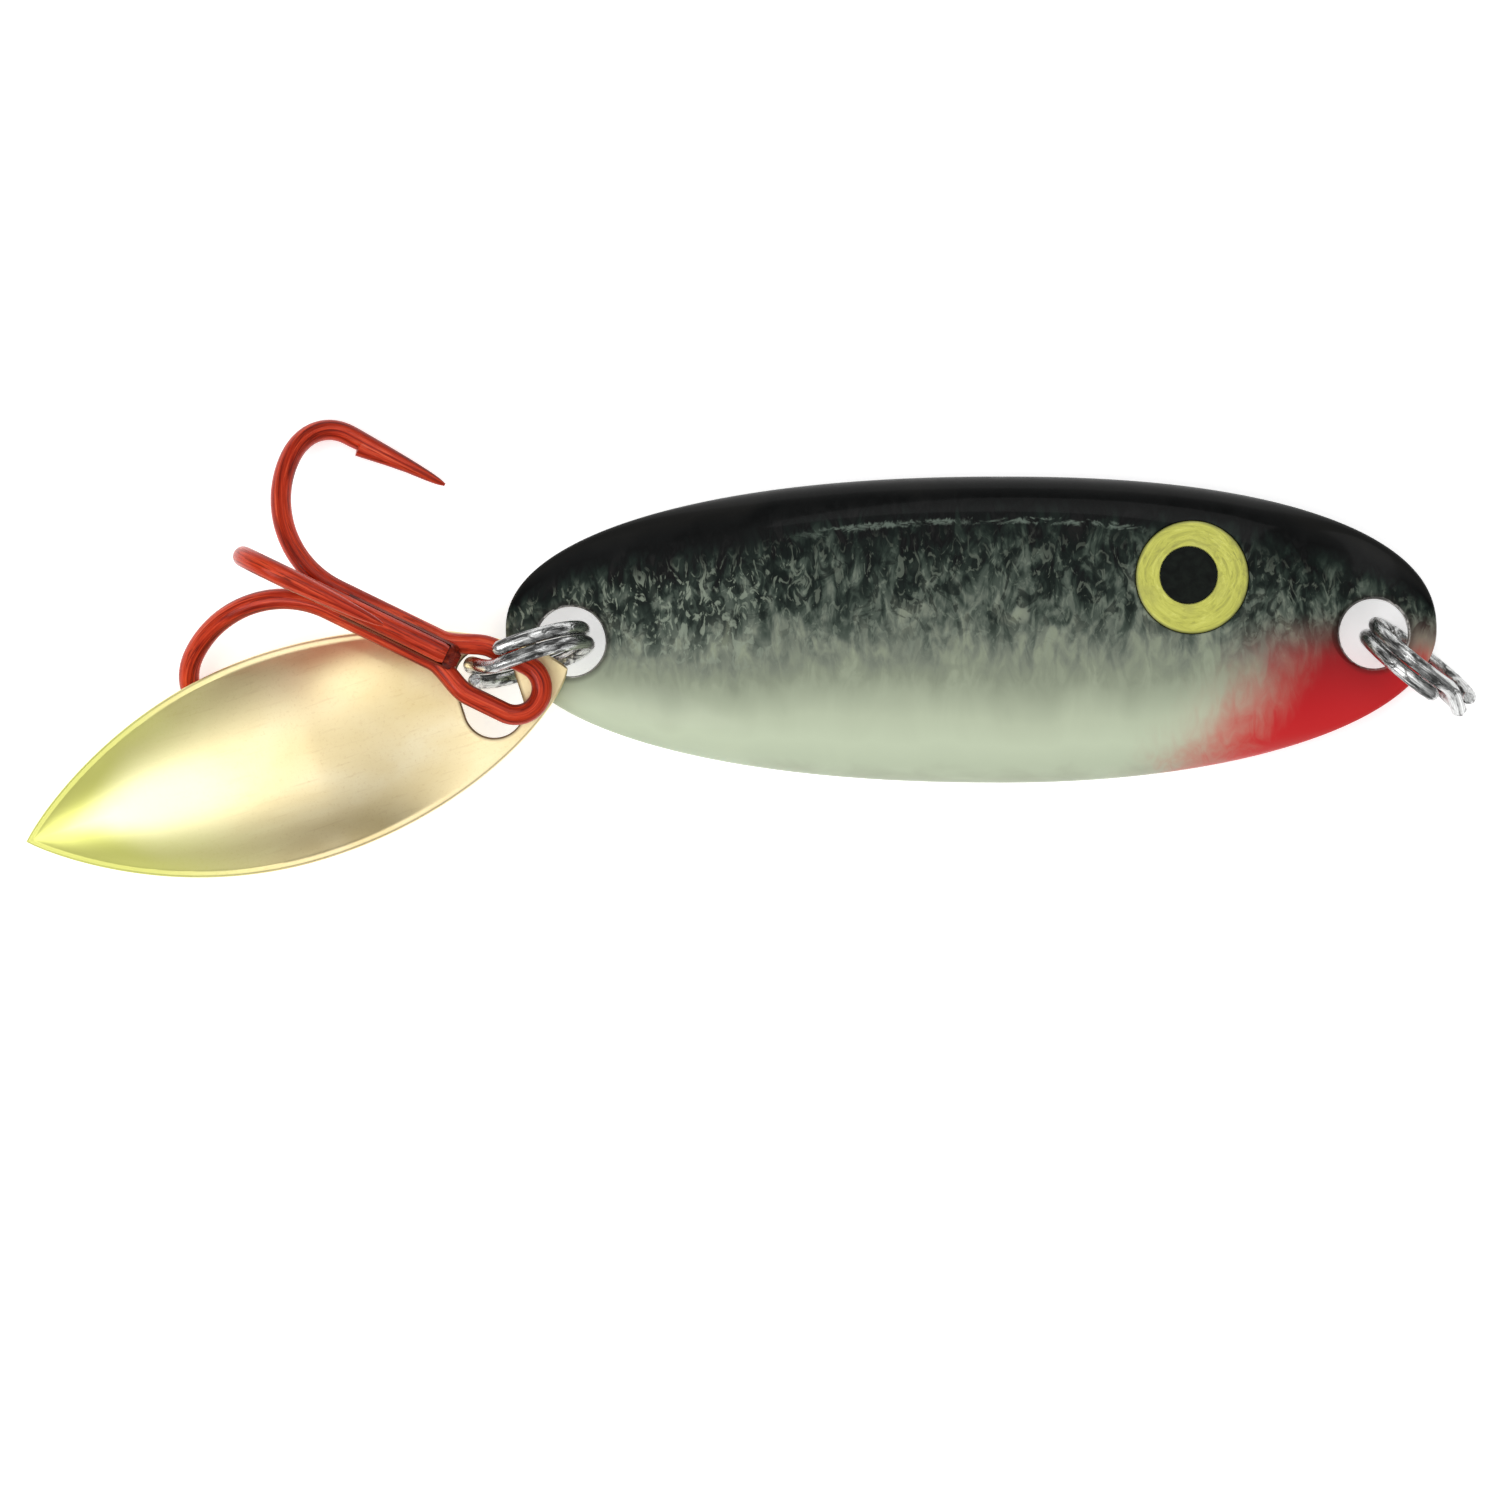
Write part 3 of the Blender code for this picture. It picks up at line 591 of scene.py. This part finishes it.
def blade_plate():
    """Satin gold plate, with yellow-green paint sprayed over the tip half. The near-white middle of the
    yellow-green is a painted highlight.
    """
    g = Graph("blade_plate_fine")
    mm, x, y, _ = g.kept_mm("own")
    grain = g.noise(mm, 6.5, 4, 0.7, 0.0)
    cloud = g.noise(g.stretch(mm, (0.20, 0.36, 0.5), (1, 2, 3)), 0.8, 4, 0.5, 0.5)
    brushed = g.noise(g.stretch(mm, (0.45, 6.0, 2.0), (4, 1, 2)), 1.0, 4, 0.65, 0.25)
    gold = g.ramp(cloud, stops(((0.30, (232, 212, 160)), (0.55, (240, 223, 178)), (0.72, (245, 232, 194)))))
    gold = g.blend(g.rise(grain, 0.52, 0.74, 0.0, 0.30), gold, srgb(206, 176, 120))
    gold = g.blend(g.rise(brushed, 0.56, 0.72, 0.0, 0.18), gold, srgb(196, 164, 110))
    spray = g.sum("ADD", x, g.sum("MULTIPLY", g.sum("SUBTRACT", cloud, 0.5), 4.0))
    spray = g.sum("ADD", spray, g.sum("MULTIPLY", g.sum("SUBTRACT", grain, 0.5), 1.4))
    green = g.rise(spray, 8.0, 20.0, 0.0, 0.95)
    share = g.sum("DIVIDE", g.sum("SUBTRACT", x, BLADE_MIDDLE), BLADE_HALF_LENGTH)
    narrow = g.sum("MAXIMUM", g.sum("SUBTRACT", 1.0, g.sum("MULTIPLY", share, share)), 0.02)
    off = g.sum("ABSOLUTE", g.sum("SUBTRACT", y, BLADE_HOLE_AT[1]))
    width_here = g.sum("MULTIPLY", g.sum("POWER", narrow, BLADE_TIP_POWER), BLADE_HALF_WIDTH)
    to_edge = g.sum("DIVIDE", off, width_here)
    to_edge = g.sum("ADD", to_edge, g.sum("MULTIPLY", g.sum("SUBTRACT", cloud, 0.5), 0.3))
    to_edge = g.sum("ADD", to_edge, g.rise(x, 16.5, 23.0, 0.0, 0.9))
    # Yellow-green paled to near white along the middle as a painted highlight, and full yellow-green at the
    # edges and the very tip
    lime_and_highlight = g.blend(g.rise(to_edge, 0.15, 0.95), srgb(247, 243, 190), srgb(208, 210, 110))
    colour = g.blend(green, gold, lime_and_highlight)
    beyond = g.sum("SUBTRACT", g.sum("ABSOLUTE", g.sum("SUBTRACT", y, BLADE_HOLE_AT[1])), BLADE_HOLE_STRAIGHT)
    hole = g.distance(x, g.sum("MAXIMUM", beyond, 0.0), (BLADE_HOLE_AT[0], 0.0))
    # Painted shade: a dark brown ring round the edge of the hole
    rim = g.rise(hole, BLADE_HOLE_RADIUS + 0.22, BLADE_HOLE_RADIUS + 0.02, 0.0, 0.7)
    colour = g.blend(rim, colour, srgb(92, 62, 30))
    g.put("Base Color", colour)
    g.put("Metallic", g.sum("MULTIPLY_ADD", green, -0.5, 1.0))
    g.put("Roughness", g.sum("ADD", g.rise(cloud, 0.3, 0.7, 0.36, 0.42), g.sum("MULTIPLY", grain, 0.05)))
    g.put("Coat Weight", 0.12)
    g.put("Coat Roughness", 0.3)
    g.put("Normal", g.bump(grain, 0.010, 0.4, g.bump(brushed, 0.008, 0.25)))
    return g.material


# ---------------------------------------------------------------- body and eyes


def body_point(angle, share):
    across, up = math.cos(angle), math.sin(angle)
    length, power = REAR, POWER
    if across > 0:
        length, power = FRONT, FORE_POWERS[0 if up > 0 else 1]
    x = math.copysign(abs(across) ** (2 / power), across) * length
    y = math.copysign(abs(up) ** (2 / power), up) * HALF_DEPTH
    return CREST_X + x * share, y * share


def half_thickness(x, share):
    taper = max(smooth_step(x, *NOSE_TAPER), smooth_step(x, *TAIL_TAPER))
    full = HALF_THICK - (HALF_THICK - END_HALF_THICK) * taper
    edge = max(0.0, (share - EDGE_START) / (1 - EDGE_START))
    return full * math.sqrt(max(0.0, 1 - edge * edge))


def hole_cutter(place):
    reach = HALF_THICK
    flare = HOLE_RADIUS + reach - HOLE_BAND
    soft = 0.06
    profile = [
        (flare, -reach),
        (HOLE_RADIUS + soft, -HOLE_BAND - soft),
        (HOLE_RADIUS + soft * 0.3, -HOLE_BAND + soft * 0.2),
        (HOLE_RADIUS, -HOLE_BAND + soft * 1.5),
        (HOLE_RADIUS, HOLE_BAND - soft * 1.5),
        (HOLE_RADIUS + soft * 0.3, HOLE_BAND - soft * 0.2),
        (HOLE_RADIUS + soft, HOLE_BAND + soft),
        (flare, reach),
    ]
    cutter = object_from("hole_cutter", turned(profile))
    cutter.location = Vector((place[0], place[1], HALF_THICK)) * MM
    return cutter


def socket_cutter(side):
    floor = HALF_THICK - SOCKET_DEPTH
    wall = EYE_RADIUS + FIT
    below, past, opening = 0.05, 0.07, 0.12
    profile = [
        (wall, side * floor),
        (wall, side * (HALF_THICK - below)),
        (wall + opening, side * (HALF_THICK + past)),
    ]
    cutter = object_from("socket_cutter", turned(profile))
    cutter.location = Vector((EYE_AT[0], EYE_AT[1], HALF_THICK)) * MM
    return cutter


def body_piece(finish):
    shares = [0.04 + (EDGE_START - 0.04) * k / FLAT_LOOPS for k in range(FLAT_LOOPS + 1)]
    for k in range(1, EDGE_LOOPS):
        shares.append(EDGE_START + (1 - EDGE_START) * math.sin(math.pi / 2 * k / EDGE_LOOPS))
    bm = bmesh.new()
    loops = []
    rows = [(share, 1) for share in shares] + [(1.0, 0)] + [(share, -1) for share in reversed(shares)]
    for share, side in rows:
        loop = []
        for k in range(BODY_SIDES):
            x, y = body_point(2 * math.pi * (k + 0.5) / BODY_SIDES, share)
            loop.append(bm.verts.new((x, y, HALF_THICK + side * half_thickness(x, share))))
        loops.append(loop)
    join_loops(bm, loops)
    body = object_from("spoon_body_painted", bm, finish)
    carve(body, [hole_cutter(NOSE_HOLE), hole_cutter(TAIL_HOLE), socket_cutter(1), socket_cutter(-1)])
    return stands_for(body, "spoon", "body_paint", "spoon_body")


def rounded_disc(radius, low, high, edge, crown, side):
    """A disc's profile with a rounded outer edge and a slight crown, for one side of the body."""
    profile = [(radius, side * low)]
    for k in range(7):
        turn = math.pi / 2 * k / 6
        drop = crown + edge * (1 - math.sin(turn))
        profile.append((radius - edge * (1 - math.cos(turn)), side * (high - drop)))
    for k in range(1, 9):
        r = (radius - edge) * (1 - k / 9)
        profile.append((r, side * (high - crown * (r / (radius - edge)) ** 2)))
    return profile


def eye_pieces(label, side, iris, pupil):
    face = HALF_THICK - FIT
    disc = object_from(
        "eye_iris_" + label + "_fine",
        turned(rounded_disc(EYE_RADIUS, HALF_THICK - SOCKET_DEPTH + FIT, face, 0.07, 0.05, side)),
        iris,
    )
    for vertex in disc.data.vertices:
        vertex.co += Vector((EYE_AT[0], EYE_AT[1], HALF_THICK)) * MM
    pocket = [(PUPIL_RADIUS + FIT, side * (face - PUPIL_POCKET)), (PUPIL_RADIUS + FIT, side * (face + 1))]
    cutter = object_from("pupil_cutter", turned(pocket))
    cutter.location = Vector((PUPIL_AT[0], PUPIL_AT[1], HALF_THICK)) * MM
    carve(disc, [cutter])
    stands_for(disc, "spoon", "iris_paint", "eye_iris_" + label)
    profile = rounded_disc(PUPIL_RADIUS, HALF_THICK - PUPIL_POCKET, HALF_THICK - FIT / 2, 0.04, 0.03, side)
    dot = object_from("eye_pupil_" + label + "_fine", turned(profile), pupil)
    for vertex in dot.data.vertices:
        vertex.co += Vector((PUPIL_AT[0], PUPIL_AT[1], HALF_THICK)) * MM
    stands_for(dot, "spoon", "pupil_paint", "eye_pupil_" + label)


# ---------------------------------------------------------------- wires


def sweep(name, points, radii, finish, pushes=None, sides=WIRE_SIDES):
    """A round wire along points, in millimetres, that keeps its own coordinates in "wire"."""
    tangents = []
    for k in range(len(points)):
        before, after = points[max(0, k - 1)], points[min(len(points) - 1, k + 1)]
        tangents.append((after - before).normalized())
    normal = tangents[0].orthogonal().normalized()
    bm = bmesh.new()
    loops, own, run = [], [], 0.0
    for k, point in enumerate(points):
        if k:
            run += (point - points[k - 1]).length
            normal = tangents[k - 1].rotation_difference(tangents[k]) @ normal
        normal = (normal - tangents[k] * normal.dot(tangents[k])).normalized()
        side = tangents[k].cross(normal)
        loop = []
        for j in range(sides):
            turn = 2 * math.pi * j / sides
            out = normal * math.cos(turn) + side * math.sin(turn)
            reach = radii[k]
            if pushes and pushes[k].length > 0:
                reach += pushes[k].length * max(0.0, out.dot(pushes[k].normalized())) ** 4
            loop.append(bm.verts.new(point + out * reach))
            own.append((run, math.cos(turn), math.sin(turn)))
        loops.append(loop)
    join_loops(bm, loops)
    obj = object_from(name, bm, finish, 40)
    attribute = obj.data.attributes.new("wire", "FLOAT_VECTOR", "POINT")
    attribute.data.foreach_set("vector", [value for triple in own for value in triple])
    return obj


def place_at(x, y, z):
    return Matrix.Translation(Vector((x, y, z)) * MM)


def ring_piece(name, node, body, pivot, heading, finish):
    step = (RING_WIRE + RING_GAP) / 2
    turns = 4 * math.pi - RING_JOG - RING_SPLIT
    count = round(RING_STEPS * turns / (2 * math.pi))
    points, radii = [], []
    for k in range(count + 1):
        along = turns * k / count
        angle = RING_SPLIT_AT + along
        over = smooth_step(along, 2 * math.pi - RING_JOG, 2 * math.pi - RING_SPLIT / 2)
        x = RING_RADIUS * (1 + math.cos(angle))
        points.append(Vector((x, step * (2 * over - 1), RING_RADIUS * math.sin(angle))))
        from_end = min(along, turns - along) * RING_RADIUS
        radii.append(RING_WIRE / 2 * (0.72 + 0.28 * smooth_step(from_end, 0.0, 0.22)))
    ring = sweep(name, points, radii, finish)
    place = place_at(pivot[0], pivot[1], RING_Z)
    settle(ring, place @ Matrix.Rotation(heading, 4, "Z") @ Matrix.Rotation(RING_TILT, 4, "X"))
    return stands_for(ring, body, "ring_steel", node)


def tail_wire_place(height):
    rise = height - RING_Z
    out, across = RING_RADIUS + math.sqrt(RING_RADIUS**2 - rise**2), -rise * math.sin(RING_TILT)
    spot = Matrix.Rotation(TAIL_HEADING, 3, "Z") @ Vector((out, across, 0))
    return place_at(TAIL_PIVOT[0] + spot.x, TAIL_PIVOT[1] + spot.y, height)


def curve_points(first, first_pull, second_pull, second, steps):
    return interpolate_bezier(first, first_pull, second_pull, second, steps + 1)[:-1]


def at(along, radial, outward):
    return Vector((along, 0, 0)) + outward * radial


def prong(start, outward):
    """Points from the shank to the tip of one prong, with each one's distance left to the tip
    along the point, or None before it."""
    outer = at(BEND_OUTER, BEND_RADIAL, outward)
    pull = at(BEND_OUTER, BEND_PULLS[1], outward)
    turn_end = at(POINT_START, GAPE, outward)
    points = curve_points(start, start + Vector((BEND_PULLS[0], 0, 0)), pull, outer, 44)
    points += curve_points(
        outer,
        at(BEND_OUTER, TURN_PULL[1], outward),
        at(TURN_PULL[0], GAPE, outward),
        turn_end,
        28,
    )
    left = [None] * len(points)
    whole = POINT_START - POINT_TIP
    for k in range(61):
        share = 1 - k / 60
        if k > 50:
            share = (1 - 50 / 60) * (1 - ((k - 50) / 10) ** 0.8)
        along = POINT_TIP + whole * share
        points.append(at(along, TIP_RADIAL + (GAPE - TIP_RADIAL) * share, outward))
        left.append(whole * share)
    return points, left


def prong_radii(left):
    radii = []
    for value in left:
        share = 1.0 if value is None else min(1.0, (value / TAPER_LENGTH) ** TAPER_POWER)
        radii.append(max(TIP_RADIUS, HOOK_WIRE / 2 * share))
    for k in range(len(radii)):
        if left[k] is None:
            short = sum(1 for value in left[k:] if value is None)
            blend = smooth_step(short, 20, 0)
            radii[k] = HOOK_WIRE / 2 * (1 - blend) + radii[len(left) - 61] * blend
    return radii


def prong_pushes(left, outward):
    pushes = []
    for value in left:
        rise = 0.0
        if value is not None and BARB_FROM < value <= BARB_TO:
            rise = BARB_HEIGHT * ((value - BARB_FROM) / (BARB_TO - BARB_FROM)) ** 1.2
        pushes.append(outward * -rise)
    return pushes


def eye_and_shanks():
    side = WIRE_PITCH / 2
    neck_start, neck_end = EYE_NECK
    legs = []
    for k in range(31):
        along = neck_start + (neck_end - neck_start) * k / 30
        width = EYE_HALF_WIDTH + (side - EYE_HALF_WIDTH) * smooth_step(along, neck_start, neck_end)
        legs.append(Vector((along, width, 0)))
    for k in range(1, 20):
        legs.append(Vector((neck_end + (BEND_START - neck_end) * k / 20, side, 0)))
    centre = EYE_END + EYE_HALF_WIDTH
    arc = []
    for k in range(10):
        arc.append(Vector((neck_start + (centre - neck_start) * (k + 1) / 11, EYE_HALF_WIDTH, 0)))
    for k in range(65):
        turn = math.pi * (0.5 + k / 64)
        arc.append(Vector((centre + EYE_HALF_WIDTH * math.cos(turn), EYE_HALF_WIDTH * math.sin(turn), 0)))
    for k in range(10):
        arc.append(Vector((centre + (neck_start - centre) * (k + 1) / 11, -EYE_HALF_WIDTH, 0)))
    back = [Vector((leg.x, -leg.y, 0)) for leg in legs]
    return list(reversed(legs)) + arc + back


def hook_pieces(finish, braze_finish):
    place = tail_wire_place(HOOK_Z) @ Matrix.Rotation(HOOK_HEADING, 4, "Z")
    place = place @ Matrix.Rotation(-HOOK_PITCH, 4, "Y")
    side = WIRE_PITCH / 2
    rise = WIRE_PITCH * math.sqrt(3) / 2
    left = Vector((0, math.cos(PRONG_SPREAD), -math.sin(PRONG_SPREAD)))
    right = Vector((0, -math.cos(PRONG_SPREAD), -math.sin(PRONG_SPREAD)))
    first, first_left = prong(Vector((BEND_START, side, 0)), left)
    second, second_left = prong(Vector((BEND_START, -side, 0)), right)
    middle = eye_and_shanks()
    points = list(reversed(first)) + middle + second
    radii = list(reversed(prong_radii(first_left))) + [HOOK_WIRE / 2] * len(middle) + prong_radii(second_left)
    still = [Vector((0, 0, 0))] * len(middle)
    pushes = list(reversed(prong_pushes(first_left, left))) + still + prong_pushes(second_left, right)
    wire = sweep("hook_double_wire_fine", points, radii, finish, pushes)
    settle(wire, place)
    stands_for(wire, "treble_hook", "hook_red", "hook_double_wire")

    up = Vector((0, 0, 1))
    bend, bend_left = prong(Vector((BEND_START, 0, rise)), up)
    shank = [Vector((THIRD_START + (BEND_START - THIRD_START) * k / 24, 0, rise)) for k in range(24)]
    radii = [HOOK_WIRE / 2 * (0.86 + 0.14 * smooth_step(k, 0, 1)) for k in range(24)]
    radii += prong_radii(bend_left)
    pushes = [Vector((0, 0, 0))] * len(shank) + prong_pushes(bend_left, up)
    third = sweep("hook_third_wire_fine", shank + bend, radii, finish, pushes)
    settle(third, place)
    stands_for(third, "treble_hook", "hook_red", "hook_third_wire")

    braze = braze_piece(braze_finish, side, rise)
    settle(braze, place)
    stands_for(braze, "treble_hook", "hook_red", "braze_fillet")


def braze_piece(finish, side, rise):
    """The fillets beside the third wire, with a soft run-in in front of its end."""
    half_base, half_shoulder, half_top, corner = 0.68, 0.60, 0.46, 0.12
    bm = bmesh.new()
    loops = []
    for k in range(41):
        along = BRAZE_START + (BRAZE_END - BRAZE_START) * k / 40
        share = 0.30 + 0.70 * smooth_step(along, BRAZE_START, BRAZE_START + 0.7)
        share *= 1 - 0.25 * smooth_step(along, BRAZE_END - 0.8, BRAZE_END)
        top = BRAZE_BASE + BRAZE_HEIGHT * share
        loop = []
        shoulder = BRAZE_BASE + (top - BRAZE_BASE) * 0.55
        outline = [(-half_base, BRAZE_BASE), (half_base, BRAZE_BASE), (half_shoulder, shoulder)]
        for j in range(9):
            turn = math.pi * (0.12 + 0.76 * j / 8)
            outline.append((half_top * math.cos(turn), top - corner + corner * math.sin(turn)))
        outline.append((-half_shoulder, shoulder))
        for y, z in outline:
            loop.append(bm.verts.new((along, y, z)))
        loops.append(loop)
    join_loops(bm, loops)
    braze = object_from("braze_fillet_fine", bm, finish)
    cutters = []
    for y, z, start in ((side, 0.0, -1.0), (-side, 0.0, -1.0), (0.0, rise, THIRD_START - 0.04)):
        reach = BRAZE_END + 1 - start
        cutter = object_from("wire_cutter", turned([(WIRE_CLEAR, 0.0), (WIRE_CLEAR, reach)], 64))
        cutter.matrix_world = place_at(start, y, z) @ Matrix.Rotation(math.pi / 2, 4, "Y")
        cutters.append(cutter)
    carve(braze, cutters)
    own = []
    for vertex in braze.data.vertices:
        own += [vertex.co.x / MM, vertex.co.y / MM * 2, vertex.co.z / MM * 2]
    attribute = braze.data.attributes.new("wire", "FLOAT_VECTOR", "POINT")
    attribute.data.foreach_set("vector", own)
    return braze


# ---------------------------------------------------------------- blade


CUP_POWER = 2.5  # a higher power gives a flatter floor and steeper sides
CUP_AT_ENDS = 0.35  # depth left at the two ends, as a share of the full depth
CUP_RUN = 0.36  # share of the half length over which the cup deepens
CUP_NARROWEST = 0.9  # half width from which the cup has its full depth
BLADE_EDGE_ROUND = 0.16
BLADE_EDGE_DROP = 0.36  # how far each face drops at the edge, as a share of the thickness
RING_TO_BLADE = Matrix.Rotation(TAIL_HEADING - BLADE_HEADING, 3, "Z")
BLADE_SLACK_AT = RING_TO_BLADE @ Vector((-BLADE_SLACK[0], BLADE_SLACK[1], 0))
BLADE_HOLE_AT = (BLADE_SLACK_AT.x, BLADE_SLACK_AT.y)
BLADE_MIDDLE = BLADE_SLACK_AT.x + BLADE_HALF_LENGTH - BLADE_HOLE_FROM_END


def blade_half_width(share):
    power = BLADE_TIP_POWER if share > 0 else BLADE_ROOT_POWER
    return BLADE_HALF_WIDTH * max(0.0, 1 - share * share) ** power


def blade_cup(share, off, width):
    """Height of the cup at a distance off the middle line. A flat lip runs round its edge."""
    inner = max(0.02, width - BLADE_LIP)
    across = min(1.0, abs(off) / inner)
    round_over = 1 - across**CUP_POWER
    fade = smooth_step(share, -0.62, -0.05)
    deepening = CUP_AT_ENDS + (1 - CUP_AT_ENDS) * smooth_step(1 - abs(share), 0.0, CUP_RUN)
    ends = max(0.0, 1 - share * share) * deepening
    return BLADE_DOME * fade * ends * round_over * smooth_step(width, 0.0, CUP_NARROWEST)


def blade_piece(finish):
    strips, stations = 84, 190
    bm = bmesh.new()
    loops = []
    for k in range(stations + 1):
        share = -math.cos(math.pi * (k + 0.35) / (stations + 0.7))
        x = BLADE_MIDDLE + share * BLADE_HALF_LENGTH
        width = blade_half_width(share)
        round_start = max(0.0, 1 - BLADE_EDGE_ROUND / max(width, BLADE_EDGE_ROUND + 0.01))
        loop = []
        for side, order in ((1, range(strips + 1)), (0, range(strips, -1, -1))):
            for j in order:
                across = math.sin(math.pi / 2 * (-1 + 2 * j / strips))
                edge = max(0.0, (abs(across) - round_start) / (1 - round_start))
                drop = BLADE_THICK * BLADE_EDGE_DROP * (1 - math.sqrt(max(0.0, 1 - edge * edge)))
                z = blade_cup(share, across * width, width)
                z += BLADE_THICK - drop if side else drop
                loop.append(bm.verts.new((x, BLADE_SLACK_AT.y + across * width, z)))
        loops.append(loop)
    join_loops(bm, loops)
    blade = object_from("flicker_blade_fine", bm, finish)
    lip = 0.07
    profile = [
        (BLADE_HOLE_RADIUS + lip, -1.0),
        (BLADE_HOLE_RADIUS + lip, 0.0),
        (BLADE_HOLE_RADIUS, lip),
        (BLADE_HOLE_RADIUS, BLADE_THICK - lip),
        (BLADE_HOLE_RADIUS + lip, BLADE_THICK),
        (BLADE_HOLE_RADIUS + lip, 2.0),
    ]
    slot = turned(profile)
    for vertex in slot.verts:
        if abs(vertex.co.y) > 1e-6:
            vertex.co.y += math.copysign(BLADE_HOLE_STRAIGHT, vertex.co.y)
    cutter = object_from("blade_hole_cutter", slot)
    cutter.matrix_world = place_at(BLADE_HOLE_AT[0], BLADE_HOLE_AT[1], 0)
    carve(blade, [cutter])
    place = tail_wire_place(BLADE_Z) @ Matrix.Rotation(BLADE_HEADING, 4, "Z")
    place = place @ Matrix.Rotation(BLADE_SLOPE, 4, "Y") @ Matrix.Rotation(-BLADE_ROLL, 4, "X")
    settle(blade, place)
    return stands_for(blade, "blade", "blade_gold", "flicker_blade")


# ---------------------------------------------------------------- studio


def floor():
    g = Graph("floor_white")
    mm, *_ = g.own_mm()
    whites = [(0.3, (0.90, 0.90, 0.90, 1)), (0.7, (0.92, 0.92, 0.92, 1))]
    g.put("Base Color", g.ramp(g.noise(mm, 0.02, 2), whites))
    g.put("Roughness", 0.9)
    g.put("Specular IOR Level", 0.1)
    g.put("Emission Color", (1, 1, 1, 1))
    g.put("Emission Strength", 0.50)
    bm = bmesh.new()
    bmesh.ops.create_grid(bm, x_segments=8, y_segments=8, size=3000)
    plane = object_from("studio_floor", bm, g.material)
    plane.location.z = -0.00003


def area_light(name, place, target, width, height, watts, colour=(1, 1, 1)):
    light = bpy.data.lights.new(name, "AREA")
    light.shape = "RECTANGLE"
    light.size = width * MM
    light.size_y = height * MM
    light.energy = watts
    light.color = colour
    lamp = bpy.data.objects.new(name, light)
    bpy.context.scene.collection.objects.link(lamp)
    lamp.location = Vector(place) * MM
    aim = Vector(target) * MM - lamp.location
    lamp.rotation_euler = aim.to_track_quat("-Z", "Y").to_euler()
    lamp.visible_camera = False


def studio():
    floor()
    world = bpy.data.worlds.new("studio")
    bpy.context.scene.world = world
    world.use_nodes = True
    nodes, links = world.node_tree.nodes, world.node_tree.links
    back = nodes["Background"]
    direction = nodes.new("ShaderNodeTexCoord")
    parts = nodes.new("ShaderNodeSeparateXYZ")
    ramp = nodes.new("ShaderNodeValToRGB")
    links.new(direction.outputs["Generated"], parts.inputs[0])
    links.new(parts.outputs[2], ramp.inputs[0])
    levels = ((0.0, 0.70), (0.12, 0.45), (0.35, 0.22), (0.55, 0.32), (0.75, 0.60), (0.88, 1.0), (1.0, 1.0))
    while len(ramp.color_ramp.elements) < len(levels):
        ramp.color_ramp.elements.new(0.5)
    for element, (place, level) in zip(ramp.color_ramp.elements, levels):
        element.position = place
        element.color = (level, level, level, 1)
    links.new(ramp.outputs[0], back.inputs["Color"])
    back.inputs["Strength"].default_value = 1.0
    area_light("key", (-160, -70, 190), (-8, -2, 0), 150, 150, 0.25)
    area_light("fill", (60, 150, 210), (-8, -2, 0), 180, 180, 0.14)


def camera():
    lens = bpy.data.cameras.new("camera")
    lens.sensor_width = 36.0
    away = 480.0
    lens.lens = 36.0 * away / 72.2
    lens.clip_start = 0.01
    lens.clip_end = 20.0
    eye = bpy.data.objects.new("camera", lens)
    bpy.context.scene.collection.objects.link(eye)
    eye.location = Vector((-10.69, -5.82, 4.0 + away)) * MM
    bpy.context.scene.camera = eye


body_piece(body_paint())
iris, pupil = iris_paint(), pupil_paint()
eye_pieces("upper", 1, iris, pupil)
eye_pieces("lower", -1, iris, pupil)
steel = ring_steel()
ring_piece("nose_split_ring_fine", "nose_split_ring", "nose_ring", NOSE_PIVOT, NOSE_HEADING, steel)
ring_piece("tail_split_ring_fine", "tail_split_ring", "tail_ring", TAIL_PIVOT, TAIL_HEADING, steel)
# The braze is painted near-black as the shade in the groove between the wires
hook_pieces(hook_lacquer("hook_lacquer_fine", 0.0), hook_lacquer("braze_painted_shade_fine", 0.85))
blade_piece(blade_plate())
studio()
camera()
bpy.context.scene.view_settings.view_transform = "Standard"
